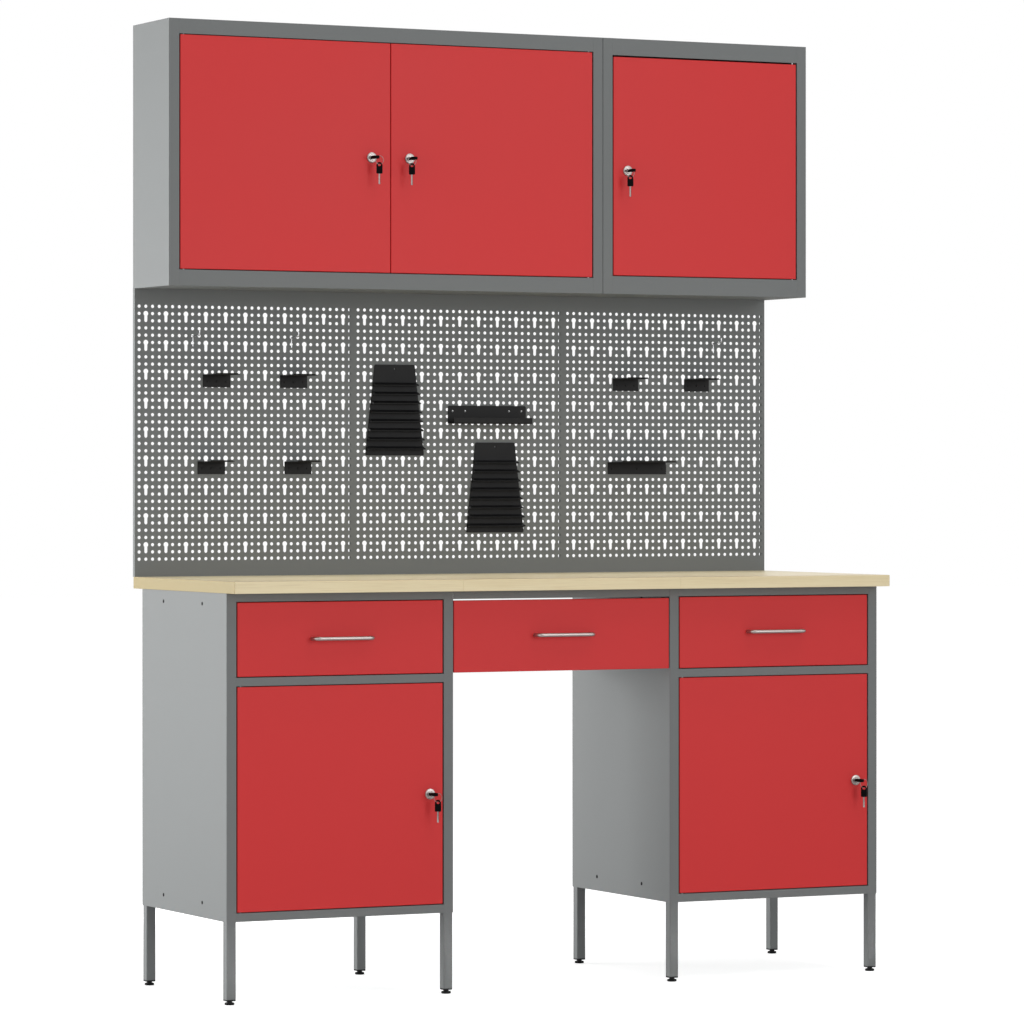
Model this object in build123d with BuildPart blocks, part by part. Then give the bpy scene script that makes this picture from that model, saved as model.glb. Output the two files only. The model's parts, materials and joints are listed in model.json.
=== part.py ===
"""Steel workbench with drawers, cupboards, a perforated tool wall and two wall cabinets.

Millimetres. +Z is up, -Y is the front, and the origin is on the floor at the middle of the bench.
"""

import os
from collections import namedtuple
from math import cos, radians, sin, sqrt

from build123d import *

os.makedirs("parts", exist_ok=True)

# Overall sizes
MODULE = 500.0  # width of a pedestal, of the knee space and of a tool panel
OVERALL_DEPTH = 540.0  # from the front edge of the worktop to the wall
BODY_WALL_GAP = 52.0  # from the back of a pedestal to the wall
TOP_PANEL_GAP = 0.3  # from the rear edge of the worktop to the tool wall
TOP_THICKNESS = 24.0
TOP_EDGE_BEVEL = 2.0
TOP_FRONT_OVERHANG = 48.0
TOP_END_OVERHANG = 3.0
LEG_CLEARANCE = 165.0  # floor to the underside of a pedestal
PANEL_HEIGHT = 598.0
CABINET_HEIGHT = 546.0
CABINET_DEPTH = 194.0

# Sheet, tube and running gaps
SHEET = 1.0
TUBE = 20.0
TUBE_WALL = 1.5
RAIL = 17.0  # height of a front rail
RAIL_DEPTH = 20.0
ROUND_SIDES = 10  # flats on a small round, few because it repeats
PIN_SIDES = 6  # flats on a pin, or on a hole of a pin's size
GAP = 1.5  # above and below a door or a drawer
SIDE_GAP = 2.5  # beside a door or a drawer
PAN = 16.0  # depth of the folded fronts
DOOR_HEIGHT = 448.0
DRAWER_HEIGHT = 148.0
CENTRE_TOP_GAP = 3.0  # above the centre drawer

# Feet
FOOT_HEIGHT = 8.0
FOOT_RADIUS = 10.0
FOOT_RIM = 3.0
FOOT_DISC = 5.0
FOOT_NECK_RADIUS = 4.5
INSERT_FLANGE = 3.0
INSERT_LENGTH = 15.0
INSERT_CLEARANCE = 0.1

# Screw holes that join one module to the next
JOINING_HOLE = 5.0
JOINING_PITCH_Y = 202.0
JOINING_PITCH_Z = 600.0
JOINING_LIFT = 30.0  # lower holes above the underside of a pedestal
JOINING_BEHIND = 225.0  # middle of the hole pattern behind the front face

# Drawers
TRAY_BACK_GAP = 39.0  # from the tray to the back of the pedestal
TRAY_HEIGHT = 110.0
TRAY_LIFT = 10.0  # tray floor above the lower edge of its front
SLIDE_SPACE = 12.5  # beside the tray, each side
SLIDE_SHEET = 1.2
RUNNER_HEIGHT = 36.0
RUNNER_FLANGE = 10.0
RUNNER_BACK_GAP = 11.2  # from the runner to the back of the pedestal
SLIDE_CLEARANCE = 0.3
SLIDE_SETBACK = 20.0  # from the front of the drawer to its slides
SLIDE_TIP_GAP = 0.8
HANDLE_SPACING = 128.0
HANDLE_REACH = 21.0  # front face to the middle of the bar
HANDLE_BAR = 8.0
HANDLE_BEND = 7.0
HANDLE_SIDES = 8

# Shelves
SHELF_LIP = 18.0
SHELF_SETBACK = 45.0
SHELF_END_GAP = 1.0
SHELF_REAR_GAP = 1.0
CLIP = 12.0
CLIP_SHEET = 1.5
CLIP_INSET = 30.0
SHELF_LIFT = 215.0  # pedestal shelf above the floor sheet
CABINET_SHELF_LIFT = 265.0  # cabinet shelf above the underside of the cabinet

# Door pivots and cam locks
PIVOT_INSET = 8.0  # from the hinge edge of the door
PIVOT_DEPTH = 4.0  # behind the front face
PIVOT_DIAMETER = 4.0
PIVOT_CLEARANCE = 0.05
PIVOT_REACH = 8.0
LOCK_ROSETTE = 22.0
LOCK_ROSETTE_THICKNESS = 2.5
LOCK_BARREL = 16.0
LOCK_BARREL_LENGTH = 20.0
LOCK_BARREL_CLEARANCE = 0.1
LOCK_NUT = 22.0
LOCK_NUT_THICKNESS = 4.0
PLUG_DIAMETER = 12.0
PLUG_CLEARANCE = 0.05
PLUG_PROUD = 1.0  # beyond the rosette
CAM_REACH = 40.0
CAM_WIDTH = 14.0
CAM_THICKNESS = 2.0
CAM_GAP = 1.0  # behind the stile
KEY_BLADE = 6.0
KEY_BLADE_THICKNESS = 2.0
KEYWAY_CLEARANCE = 0.2
KEY_NECK = 3.0
KEY_HEAD_WIDTH = 16.0
KEY_HEAD_LENGTH = 24.0
KEY_HEAD_THICKNESS = 3.0
KEY_HEAD_CORNER = 5.0
KEY_HOLE_WIDTH = 10.0
KEY_HOLE_HEIGHT = 5.0
KEY_HOLE_INSET = 6.0
KEY_BLADE_LENGTH = 22.0
RING_RADIUS = 9.0
RING_WIRE = 1.5
RING_SIDES = 16
RING_SLACK = 0.6
SPARE_KEY_TURN = 45.0

# Tool wall
PANEL_FLANGE = 10.0
PANEL_CORNER_RELIEF = 5.0  # cut out of a side flange at each corner
PANEL_RETURN = 6.0  # lip folded inwards at the rear of a side flange
HOLE_PITCH = 15.0
KEYHOLE_COLUMN_STEP = 3  # in hole pitches
KEYHOLE_ROW_STEP = 4
KEYHOLE_SIDE_MARGIN = 25.0  # least distance from a keyhole to the side of its panel
KEYHOLE_END_MARGIN = 50.0  # least distance from a keyhole to the top or the bottom of its panel
KEYHOLE_HEAD = 10.5
KEYHOLE_SLOT = 6.4
KEYHOLE_DROP = 18.0

# Wall cabinets
CABINET_STILE = 23.0
CABINET_LIP = 20.0
CABINET_RETURN = 15.0
WIDE_TOP_RAIL = 31.0
WIDE_BOTTOM_RAIL = 33.0
NARROW_TOP_RAIL = 36.0
NARROW_TOP_GAP = 3.4
NARROW_BOTTOM_RAIL = 38.0
STOP_WIDTH = 40.0
STOP_THICKNESS = 3.0
STOP_GAP = 1.0
WALL_HOLE = 8.0
WALL_HOLE_INSET = 60.0  # from the end of the cabinet
WALL_HOLE_DROP = 60.0  # below the top of the cabinet

# Lock places
LOWER_LOCK_INSET = 29.0
LOWER_LOCK_HEIGHT = 223.5  # above the lower edge of the door
WIDE_LOCK_INSET = 43.0
NARROW_LOCK_INSET = 34.0
CABINET_LOCK_HEIGHT = 239.5
NARROW_LOCK_HEIGHT = 224.0

# Holders on the tool wall
BRACKET_SHEET = 1.5
BRACKET_WIDTH = 62.0
BRACKET_HEIGHT = 27.0
BRACKET_REACH = 58.0
DRIVER_RACK_WIDTH = 144.0
TRAY_HOLDER_WIDTH = 187.0
TRAY_HOLDER_HEIGHT = 39.0
TRAY_HOLDER_REACH = 33.0
TRAY_HOLDER_LIP = 13.0
RACK_TOP_WIDTH = 94.0
RACK_BOTTOM_WIDTH = 138.0
RACK_HEIGHT = 193.0
RACK_HEAD = 38.0  # plain part above the first step
RACK_STEPS = 8
RACK_STEP_REACH = 14.0
RACK_STEP_RISE = 7.0
RACK_SHEET = 2.0
UPPER_BRACKET_Z = 1263.5
LOWER_BRACKET_Z = 1082.0
BRACKET_PLACES = [(-597.0, UPPER_BRACKET_Z), (-421.0, UPPER_BRACKET_Z), (-609.0, LOWER_BRACKET_Z),
                  (-411.0, LOWER_BRACKET_Z), (371.0, UPPER_BRACKET_Z), (547.0, UPPER_BRACKET_Z)]
DRIVER_RACK_X = 358.0
TRAY_HOLDER_X = -29.0
TRAY_HOLDER_Z = 1163.0
RACK_PLACES = [(-155.0, 1288.0), (83.5, 1123.0)]

# Places that follow from the sizes
HALF_WIDTH = 1.5 * MODULE
FRONT_EDGE = -OVERALL_DEPTH / 2
WALL = OVERALL_DEPTH / 2
FRONT = FRONT_EDGE + TOP_FRONT_OVERHANG
BACK = WALL - BODY_WALL_GAP
BODY_DEPTH = BACK - FRONT
TOP_DEPTH = OVERALL_DEPTH - PANEL_FLANGE - TOP_PANEL_GAP
BODY_MIDDLE = (FRONT + BACK) / 2
STILE = SHEET + TUBE
OPENING = MODULE - 2 * STILE  # clear width between the stiles
FRONT_WIDTH = OPENING - 2 * SIDE_GAP
FLOOR_TOP = LEG_CLEARANCE + RAIL
DOOR_BOTTOM = FLOOR_TOP + GAP
DOOR_TOP = DOOR_BOTTOM + DOOR_HEIGHT
MID_RAIL = DOOR_TOP + GAP
DRAWER_BOTTOM = MID_RAIL + RAIL + GAP
DRAWER_TOP = DRAWER_BOTTOM + DRAWER_HEIGHT
TOP_RAIL = DRAWER_TOP + GAP
BODY_TOP = TOP_RAIL + RAIL
TOP_SURFACE = BODY_TOP + TOP_THICKNESS
LEG_BOTTOM = FOOT_HEIGHT + INSERT_FLANGE
PANEL_FACE = WALL - PANEL_FLANGE
CABINET_BOTTOM = TOP_SURFACE + PANEL_HEIGHT
CABINET_TOP = CABINET_BOTTOM + CABINET_HEIGHT
CABINET_FRONT = WALL - CABINET_DEPTH
RUNNER_BOTTOM = (DRAWER_BOTTOM + DRAWER_TOP - RUNNER_HEIGHT) / 2
RUNNER_FRONT = FRONT + PAN + SLIDE_TIP_GAP
RUNNER_LENGTH = BACK - RUNNER_BACK_GAP - RUNNER_FRONT
TRAY_LENGTH = BODY_DEPTH - SHEET - TRAY_BACK_GAP
SLIDE_LENGTH = TRAY_LENGTH - SLIDE_SETBACK
JOINING_Y = FRONT + JOINING_BEHIND
SHELF_HEIGHT = FLOOR_TOP + SHELF_LIFT
CABINET_SHELF_HEIGHT = CABINET_BOTTOM + CABINET_SHELF_LIFT
CAM_DEPTH = STILE + CAM_GAP  # front face of a door to its cam
KEY_HOLE_REACH = LOCK_ROSETTE_THICKNESS + PLUG_PROUD + KEY_NECK + KEY_HEAD_LENGTH - KEY_HOLE_INSET
PEDESTALS = {"left": -MODULE, "right": MODULE}
BAYS = {"left": -MODULE, "centre": 0.0, "right": MODULE}
CABINETS = {"wide": (-HALF_WIDTH, MODULE / 2), "narrow": (MODULE / 2, HALF_WIDTH)}


def front_plane(x, y, z):
    """A plane that faces the front, with its own x to the right and its own y upwards."""
    return Plane(origin=(x, y, z), x_dir=(1, 0, 0), z_dir=(0, -1, 0))


def side_plane(x):
    """A plane across the width, with its own x along Y and its own y along Z."""
    return Plane.YZ.offset(x)


def save(name, *solids):
    """Writes one sub-part, whose solids stay separate."""
    piece = solids[0] if len(solids) == 1 else Compound(children=list(solids))
    piece.label = name
    export_step(piece, f"parts/{name}.step")


def folded(points, plane, length, sheet=SHEET, mirrored=False):
    """A folded sheet: its outer line, thickened to the left of the way it is drawn.

    A mirrored one is drawn the other way round its own y axis.
    """
    flip, thick_side = (-1, Side.RIGHT) if mirrored else (1, Side.LEFT)
    with BuildPart() as fold:
        with BuildSketch(plane):
            with BuildLine():
                Polyline(*[(flip * x, y) for x, y in points])
                offset(amount=sheet, side=thick_side, kind=Kind.INTERSECTION)
            make_face()
        extrude(amount=length)
    return fold.part


def channel(x_start, length, y_face, z_bottom, height, depth, sheet=SHEET, inward=1):
    """A rail of channel section along X. Its web is at y_face and its flanges point inward."""
    low, high = z_bottom, z_bottom + height
    first, last = (high, low) if inward > 0 else (low, high)
    tip = y_face + inward * depth
    points = [(tip, first), (y_face, first), (y_face, last), (tip, last)]
    return folded(points, side_plane(x_start), length, sheet)


def open_pan(x, z_bottom, y_face, width, height, depth, sheet=SHEET):
    """A sheet front with its four edges folded back."""
    with BuildPart() as pan:
        with BuildSketch(front_plane(x, y_face, z_bottom + height / 2)):
            Rectangle(width, height)
        extrude(amount=-depth)
        with BuildSketch(front_plane(x, y_face + sheet, z_bottom + height / 2)):
            Rectangle(width - 2 * sheet, height - 2 * sheet)
        extrude(amount=sheet - depth, mode=Mode.SUBTRACT)
    return pan.part


# Worktop: three boards side by side, bevelled along the front edge
def worktop_board(x_start, x_end):
    with BuildPart() as board:
        with BuildSketch(Plane.XY.offset(BODY_TOP)):
            with Locations(((x_start + x_end) / 2, FRONT_EDGE + TOP_DEPTH / 2)):
                Rectangle(x_end - x_start, TOP_DEPTH)
        extrude(amount=TOP_THICKNESS)
        front_edge = board.edges().filter_by(Axis.X).group_by(Axis.Z)[-1].sort_by(Axis.Y)[0]
        chamfer(front_edge, length=TOP_EDGE_BEVEL)
    return board.part


TOP_END = HALF_WIDTH + TOP_END_OVERHANG
JOINTS = [-TOP_END, -MODULE / 2, MODULE / 2, TOP_END]
save("worktop", *[worktop_board(a, b) for a, b in zip(JOINTS, JOINTS[1:])])


# Pedestal sides: sheets folded round the front and rear posts, with the joining holes
def pedestal_side(x_outer, on_right):
    section = [(STILE, BACK), (0, BACK), (0, FRONT), (STILE, FRONT)]
    middle = LEG_CLEARANCE + JOINING_LIFT + JOINING_PITCH_Z / 2
    inner = x_outer if not on_right else x_outer - SHEET
    with BuildPart() as side:
        add(folded(section, Plane((x_outer, 0, LEG_CLEARANCE)), BODY_TOP - LEG_CLEARANCE, mirrored=on_right))
        with BuildSketch(Plane.YZ.offset(inner)):
            with Locations((JOINING_Y, middle)):
                with GridLocations(JOINING_PITCH_Y, JOINING_PITCH_Z, 2, 2):
                    RegularPolygon(JOINING_HOLE / 2, PIN_SIDES, major_radius=False)
        extrude(amount=SHEET, mode=Mode.SUBTRACT)
    return side.part


sides = []
for middle in PEDESTALS.values():
    sides.append(pedestal_side(middle - MODULE / 2, False))
    sides.append(pedestal_side(middle + MODULE / 2, True))
save("pedestal_sides", *sides)

# Legs: square tubes inside the folded corners, from the feet to the worktop
LEG_SPREAD_X = MODULE - 2 * SHEET - TUBE
LEG_SPREAD_Y = BODY_DEPTH - 2 * SHEET - TUBE
LEG_PLACES = [(middle + dx, BODY_MIDDLE + dy)
              for middle in PEDESTALS.values()
              for dx in (-LEG_SPREAD_X / 2, LEG_SPREAD_X / 2)
              for dy in (-LEG_SPREAD_Y / 2, LEG_SPREAD_Y / 2)]
with BuildPart() as legs:
    with BuildSketch(Plane.XY.offset(LEG_BOTTOM)):
        with Locations(*LEG_PLACES):
            Rectangle(TUBE, TUBE)
            Rectangle(TUBE - 2 * TUBE_WALL, TUBE - 2 * TUBE_WALL, mode=Mode.SUBTRACT)
    extrude(amount=BODY_TOP - LEG_BOTTOM)
save("pedestal_legs", legs.part)

# Foot inserts: plastic plugs pushed into the tubes
SPIGOT = TUBE - 2 * TUBE_WALL - 2 * INSERT_CLEARANCE
with BuildPart() as inserts:
    with BuildSketch(Plane.XY.offset(FOOT_HEIGHT)):
        with Locations(*LEG_PLACES):
            Rectangle(TUBE, TUBE)
    extrude(amount=INSERT_FLANGE)
    with BuildSketch(Plane.XY.offset(LEG_BOTTOM)):
        with Locations(*LEG_PLACES):
            Rectangle(SPIGOT, SPIGOT)
    extrude(amount=INSERT_LENGTH)
save("foot_inserts", inserts.part)


# Levelling feet: a round disc and a neck that screws into the insert
def levelling_foot(x, y):
    with BuildPart() as foot:
        with BuildSketch(Plane((x, y, 0))):
            RegularPolygon(FOOT_RADIUS, ROUND_SIDES)
        extrude(amount=FOOT_RIM)
        with BuildSketch(Plane((x, y, FOOT_RIM))):
            RegularPolygon(FOOT_RADIUS, ROUND_SIDES)
        with BuildSketch(Plane((x, y, FOOT_DISC))):
            RegularPolygon(FOOT_NECK_RADIUS, ROUND_SIDES)
        loft(ruled=True)
        with BuildSketch(Plane((x, y, FOOT_DISC))):
            RegularPolygon(FOOT_NECK_RADIUS, ROUND_SIDES)
        extrude(amount=FOOT_HEIGHT - FOOT_DISC)
    return foot.part


save("levelling_feet", *[levelling_foot(x, y) for x, y in LEG_PLACES])


def drill_pivot(sheet_part, x, y_face, z_bottom):
    """The same part with a pivot hole through the sheet whose underside is at z_bottom."""
    with BuildPart() as drilled:
        add(sheet_part)
        with BuildSketch(Plane.XY.offset(z_bottom)):
            with Locations((x, y_face + PIVOT_DEPTH)):
                RegularPolygon(PIVOT_DIAMETER / 2 + PIVOT_CLEARANCE, PIN_SIDES, major_radius=False)
        extrude(amount=SHEET, mode=Mode.SUBTRACT)
    return drilled.part


# Rails: channels between the posts, and the two that span the knee space
PIVOT_X = -FRONT_WIDTH / 2 + PIVOT_INSET  # from the middle of a pedestal
rails = []
for middle in PEDESTALS.values():
    start = middle - OPENING / 2
    mid_rail = channel(start, OPENING, FRONT, MID_RAIL, RAIL, RAIL_DEPTH)
    rails.append(drill_pivot(mid_rail, middle + PIVOT_X, FRONT, MID_RAIL))
    rails.append(channel(start, OPENING, FRONT, TOP_RAIL, RAIL, RAIL_DEPTH))
    rails.append(channel(start, OPENING, BACK, TOP_RAIL, RAIL, RAIL_DEPTH, inward=-1))
rails.append(channel(-MODULE / 2, MODULE, FRONT, TOP_RAIL, RAIL, RAIL_DEPTH))
rails.append(channel(-MODULE / 2, MODULE, BACK, TOP_RAIL, RAIL, RAIL_DEPTH, inward=-1))
save("frame_rails", *rails)


# Pedestal floors: a sheet with folded front and rear edges, notched round the legs
def pedestal_floor(middle):
    points = [(BACK, LEG_CLEARANCE), (BACK, FLOOR_TOP), (FRONT, FLOOR_TOP), (FRONT, LEG_CLEARANCE)]
    tray = folded(points, side_plane(middle - OPENING / 2), OPENING)
    with BuildPart() as floor:
        add(tray)
        with BuildSketch(Plane.XY.offset(FLOOR_TOP - SHEET)):
            with Locations((middle, BODY_MIDDLE)):
                Rectangle(MODULE - 2 * SHEET, BODY_DEPTH - 2 * STILE)
        extrude(amount=SHEET)
    return drill_pivot(floor.part, middle + PIVOT_X, FRONT, FLOOR_TOP - SHEET)


save("pedestal_floors", *[pedestal_floor(middle) for middle in PEDESTALS.values()])

# Pedestal backs: flat sheets between the rear legs
with BuildPart() as backs:
    with BuildSketch(front_plane(0, BACK - SHEET, (FLOOR_TOP + TOP_RAIL) / 2)):
        with Locations(*[(middle, 0) for middle in PEDESTALS.values()]):
            Rectangle(OPENING, TOP_RAIL - FLOOR_TOP)
    extrude(amount=SHEET)
save("pedestal_backs", backs.part)


# Shelves: a sheet with lips turned down, on four angle clips
def shelf(x_start, x_end, y_front, y_back, z_top):
    """A shelf between two side sheets, and the clips that carry it."""
    low = z_top - SHELF_LIP
    points = [(y_back, low), (y_back, z_top), (y_front, z_top), (y_front, low)]
    length = x_end - x_start - 2 * SHELF_END_GAP
    pieces = [folded(points, side_plane(x_start + SHELF_END_GAP), length)]
    angle = [(CLIP, 0), (0, 0), (0, -CLIP)]
    for y in (y_front + CLIP_INSET, y_back - CLIP_INSET):
        for x, on_right in ((x_start, False), (x_end, True)):
            place = front_plane(x, y, z_top - SHEET)
            pieces.append(folded(angle, place, CLIP, CLIP_SHEET, on_right))
    return pieces


shelves = []
for middle in PEDESTALS.values():
    inner = MODULE / 2 - SHEET
    rear = BACK - STILE - SHELF_REAR_GAP
    shelves += shelf(middle - inner, middle + inner, FRONT + SHELF_SETBACK, rear, SHELF_HEIGHT)
save("pedestal_shelves", *shelves)


# Drawers: a folded front, a sheet tray, a bar handle, and slides that run in fixed runners
def drawer_front(middle, width, height):
    return open_pan(middle, DRAWER_BOTTOM, FRONT, width, height, PAN)


def drawer_tray(middle, width):
    place = (middle, FRONT + SHEET + TRAY_LENGTH / 2)
    floor = DRAWER_BOTTOM + TRAY_LIFT
    with BuildPart() as tray:
        with BuildSketch(Plane.XY.offset(floor)):
            with Locations(place):
                Rectangle(width, TRAY_LENGTH)
        extrude(amount=TRAY_HEIGHT)
        with BuildSketch(Plane.XY.offset(floor + SHEET)):
            with Locations(place):
                Rectangle(width - 2 * SHEET, TRAY_LENGTH - 2 * SHEET)
        extrude(amount=TRAY_HEIGHT - SHEET, mode=Mode.SUBTRACT)
    return tray.part


def drawer_handle(middle):
    height = (DRAWER_BOTTOM + DRAWER_TOP) / 2
    left, right = middle - HANDLE_SPACING / 2, middle + HANDLE_SPACING / 2
    bar = FRONT - HANDLE_REACH
    bend = bar + HANDLE_BEND
    with BuildPart() as handle:
        with BuildLine(Plane.XY.offset(height)) as path:
            Polyline((left, FRONT), (left, bend), (left + HANDLE_BEND, bar), (right - HANDLE_BEND, bar),
                     (right, bend), (right, FRONT))
        with BuildSketch(front_plane(left, FRONT, height)):
            RegularPolygon(HANDLE_BAR / 2, HANDLE_SIDES, major_radius=False)
        sweep(path=path.line, transition=Transition.RIGHT)
    return handle.part


def runner_section(x_mount):
    """Outer line of a fixed runner, from its upper flange round its web to its lower one."""
    top = RUNNER_BOTTOM + RUNNER_HEIGHT
    tip = x_mount + RUNNER_FLANGE
    return [(tip, top), (x_mount, top), (x_mount, RUNNER_BOTTOM), (tip, RUNNER_BOTTOM)]


def slide_section(x_mount):
    """Outer line of the slide, which stands on the tray and reaches into the runner."""
    inset = SLIDE_SHEET + SLIDE_CLEARANCE
    low, high = RUNNER_BOTTOM + inset, RUNNER_BOTTOM + RUNNER_HEIGHT - inset
    tray_side = x_mount + SLIDE_SPACE
    tip = x_mount + SLIDE_SHEET + SLIDE_TIP_GAP
    return [(tip, low), (tray_side, low), (tray_side, high), (tip, high)]


def pair_along_y(section, middle, y_front, length):
    """A section on the left of a drawer and its mirror image on the right."""
    place = front_plane(middle, y_front + length, 0)
    return [folded(section, place, length, SLIDE_SHEET, on_right) for on_right in (False, True)]


runners = []
for name, middle in BAYS.items():
    between = OPENING if name in PEDESTALS else MODULE
    width = FRONT_WIDTH if name in PEDESTALS else MODULE - 2 * GAP
    height = DRAWER_HEIGHT if name in PEDESTALS else TOP_RAIL - CENTRE_TOP_GAP - DRAWER_BOTTOM
    slide_start = FRONT + SLIDE_SETBACK
    save(f"{name}_drawer_front", drawer_front(middle, width, height))
    save(f"{name}_drawer_tray", drawer_tray(middle, between - 2 * SLIDE_SPACE))
    save(f"{name}_drawer_handle", drawer_handle(middle))
    save(f"{name}_drawer_slides", *pair_along_y(slide_section(-between / 2), middle, slide_start, SLIDE_LENGTH))
    runners += pair_along_y(runner_section(-between / 2), middle, RUNNER_FRONT, RUNNER_LENGTH)
save("drawer_runners", *runners)


# Tool wall: three perforated sheets with folded edges and return lips, right behind the worktop
def tool_panel(middle):
    across, down = KEYHOLE_COLUMN_STEP * HOLE_PITCH, KEYHOLE_ROW_STEP * HOLE_PITCH
    columns = 1 + int((MODULE - 2 * KEYHOLE_SIDE_MARGIN) / across)
    rows = 1 + int((PANEL_HEIGHT - 2 * KEYHOLE_END_MARGIN) / down)
    head, slot = KEYHOLE_HEAD / 2, KEYHOLE_SLOT / 2
    with BuildPart() as panel:
        add(open_pan(middle, TOP_SURFACE, PANEL_FACE, MODULE, PANEL_HEIGHT, PANEL_FLANGE))
        with BuildSketch(front_plane(middle, PANEL_FACE, TOP_SURFACE + PANEL_HEIGHT / 2)):
            with Locations((0, HOLE_PITCH / 2)):
                with GridLocations(across, down, columns, rows):
                    Polygon((0, head), (-head, 0), (-slot, -KEYHOLE_DROP), (slot, -KEYHOLE_DROP), (head, 0),
                            align=None)
        extrude(amount=-SHEET, mode=Mode.SUBTRACT)
        with BuildSketch(front_plane(middle, PANEL_FACE + SHEET, TOP_SURFACE + PANEL_HEIGHT / 2)):
            with GridLocations(MODULE - SHEET, PANEL_HEIGHT - PANEL_CORNER_RELIEF, 2, 2):
                Rectangle(SHEET, PANEL_CORNER_RELIEF)
        extrude(amount=SHEET - PANEL_FLANGE, mode=Mode.SUBTRACT)
        with BuildSketch(front_plane(middle, WALL, TOP_SURFACE + PANEL_HEIGHT / 2)):
            with GridLocations(MODULE - PANEL_RETURN, 0, 2, 1):
                Rectangle(PANEL_RETURN, PANEL_HEIGHT - 2 * PANEL_CORNER_RELIEF)
        extrude(amount=SHEET)
    return panel.part


for name, middle in BAYS.items():
    save(f"{name}_tool_panel", tool_panel(middle))


# Wall cabinets: folded sides with stiles, top and bottom pans with rails, and a back with wall holes
def cabinet_side(x_outer, on_right):
    lip = CABINET_FRONT + CABINET_LIP
    section = [(CABINET_RETURN, WALL), (0, WALL), (0, CABINET_FRONT), (CABINET_STILE, CABINET_FRONT),
               (CABINET_STILE, lip)]
    return folded(section, Plane((x_outer, 0, CABINET_BOTTOM)), CABINET_HEIGHT, mirrored=on_right)


def cabinet_pan(x_start, x_end, section, sheet_bottom):
    """The top or the bottom of a cabinet: a rail between the stiles, and a sheet between the sides."""
    start, end = x_start + CABINET_STILE, x_end - CABINET_STILE
    rear = WALL - SHEET
    lip = CABINET_FRONT + CABINET_LIP
    with BuildPart() as pan:
        add(folded(section, side_plane(start), end - start))
        with BuildSketch(Plane.XY.offset(sheet_bottom)):
            with Locations(((x_start + x_end) / 2, (lip + rear) / 2)):
                Rectangle(x_end - x_start - 2 * SHEET, rear - lip)
        extrude(amount=SHEET)
    return pan.part


def bottom_section(rail):
    lip, rear, top = CABINET_FRONT + CABINET_LIP, WALL - SHEET, CABINET_BOTTOM + rail
    return [(lip, top), (CABINET_FRONT, top), (CABINET_FRONT, CABINET_BOTTOM), (rear, CABINET_BOTTOM)]


def top_section(rail):
    lip, rear, low = CABINET_FRONT + CABINET_LIP, WALL - SHEET, CABINET_TOP - rail
    return [(rear, CABINET_TOP), (CABINET_FRONT, CABINET_TOP), (CABINET_FRONT, low), (lip, low)]


def cabinet_back(x_start, x_end):
    width = x_end - x_start
    place = front_plane((x_start + x_end) / 2, WALL - SHEET, CABINET_BOTTOM + CABINET_HEIGHT / 2)
    with BuildPart() as back:
        with BuildSketch(place):
            Rectangle(width - 2 * SHEET, CABINET_HEIGHT - 2 * SHEET)
            with Locations((0, CABINET_HEIGHT / 2 - WALL_HOLE_DROP)):
                with GridLocations(width - 2 * WALL_HOLE_INSET, 0, 2, 1):
                    Circle(WALL_HOLE / 2, mode=Mode.SUBTRACT)
        extrude(amount=SHEET)
    return back.part


# Doors: where each one hangs. Hinge is -1 for the left edge and +1 for the right edge
Door = namedtuple("Door", "middle width bottom height face hinge lock_inset lock_height")
DOORS = {}
for name, middle in PEDESTALS.items():
    DOORS[f"{name}_cupboard"] = Door(
        middle, FRONT_WIDTH, DOOR_BOTTOM, DOOR_HEIGHT, FRONT, -1, LOWER_LOCK_INSET, LOWER_LOCK_HEIGHT
    )
WIDE_START, WIDE_END = CABINETS["wide"]
WIDE_MIDDLE = (WIDE_START + WIDE_END) / 2
WIDE_DOOR = (WIDE_END - WIDE_START) / 2 - CABINET_STILE - SIDE_GAP - GAP / 2
WIDE_BOTTOM = CABINET_BOTTOM + WIDE_BOTTOM_RAIL + GAP
WIDE_HEIGHT = CABINET_TOP - WIDE_TOP_RAIL - GAP - WIDE_BOTTOM
for name, side in (("wide_left", -1), ("wide_right", 1)):
    DOORS[name] = Door(
        WIDE_MIDDLE + side * (WIDE_DOOR + GAP) / 2, WIDE_DOOR, WIDE_BOTTOM, WIDE_HEIGHT, CABINET_FRONT, side,
        WIDE_LOCK_INSET, CABINET_LOCK_HEIGHT
    )
NARROW_START, NARROW_END = CABINETS["narrow"]
NARROW_BOTTOM = CABINET_BOTTOM + NARROW_BOTTOM_RAIL + GAP
NARROW_HEIGHT = CABINET_TOP - NARROW_TOP_RAIL - NARROW_TOP_GAP - NARROW_BOTTOM
DOORS["narrow"] = Door(
    (NARROW_START + NARROW_END) / 2, NARROW_END - NARROW_START - 2 * (CABINET_STILE + SIDE_GAP),
    NARROW_BOTTOM, NARROW_HEIGHT, CABINET_FRONT, 1, NARROW_LOCK_INSET, NARROW_LOCK_HEIGHT
)


def pivot_x(door):
    return door.middle + door.hinge * (door.width / 2 - PIVOT_INSET)


def lock_place(door):
    """X and Z of the lock, and the direction from it to the free edge of the door."""
    toward = -door.hinge
    return door.middle + toward * (door.width / 2 - door.lock_inset), door.bottom + door.lock_height, toward


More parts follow.
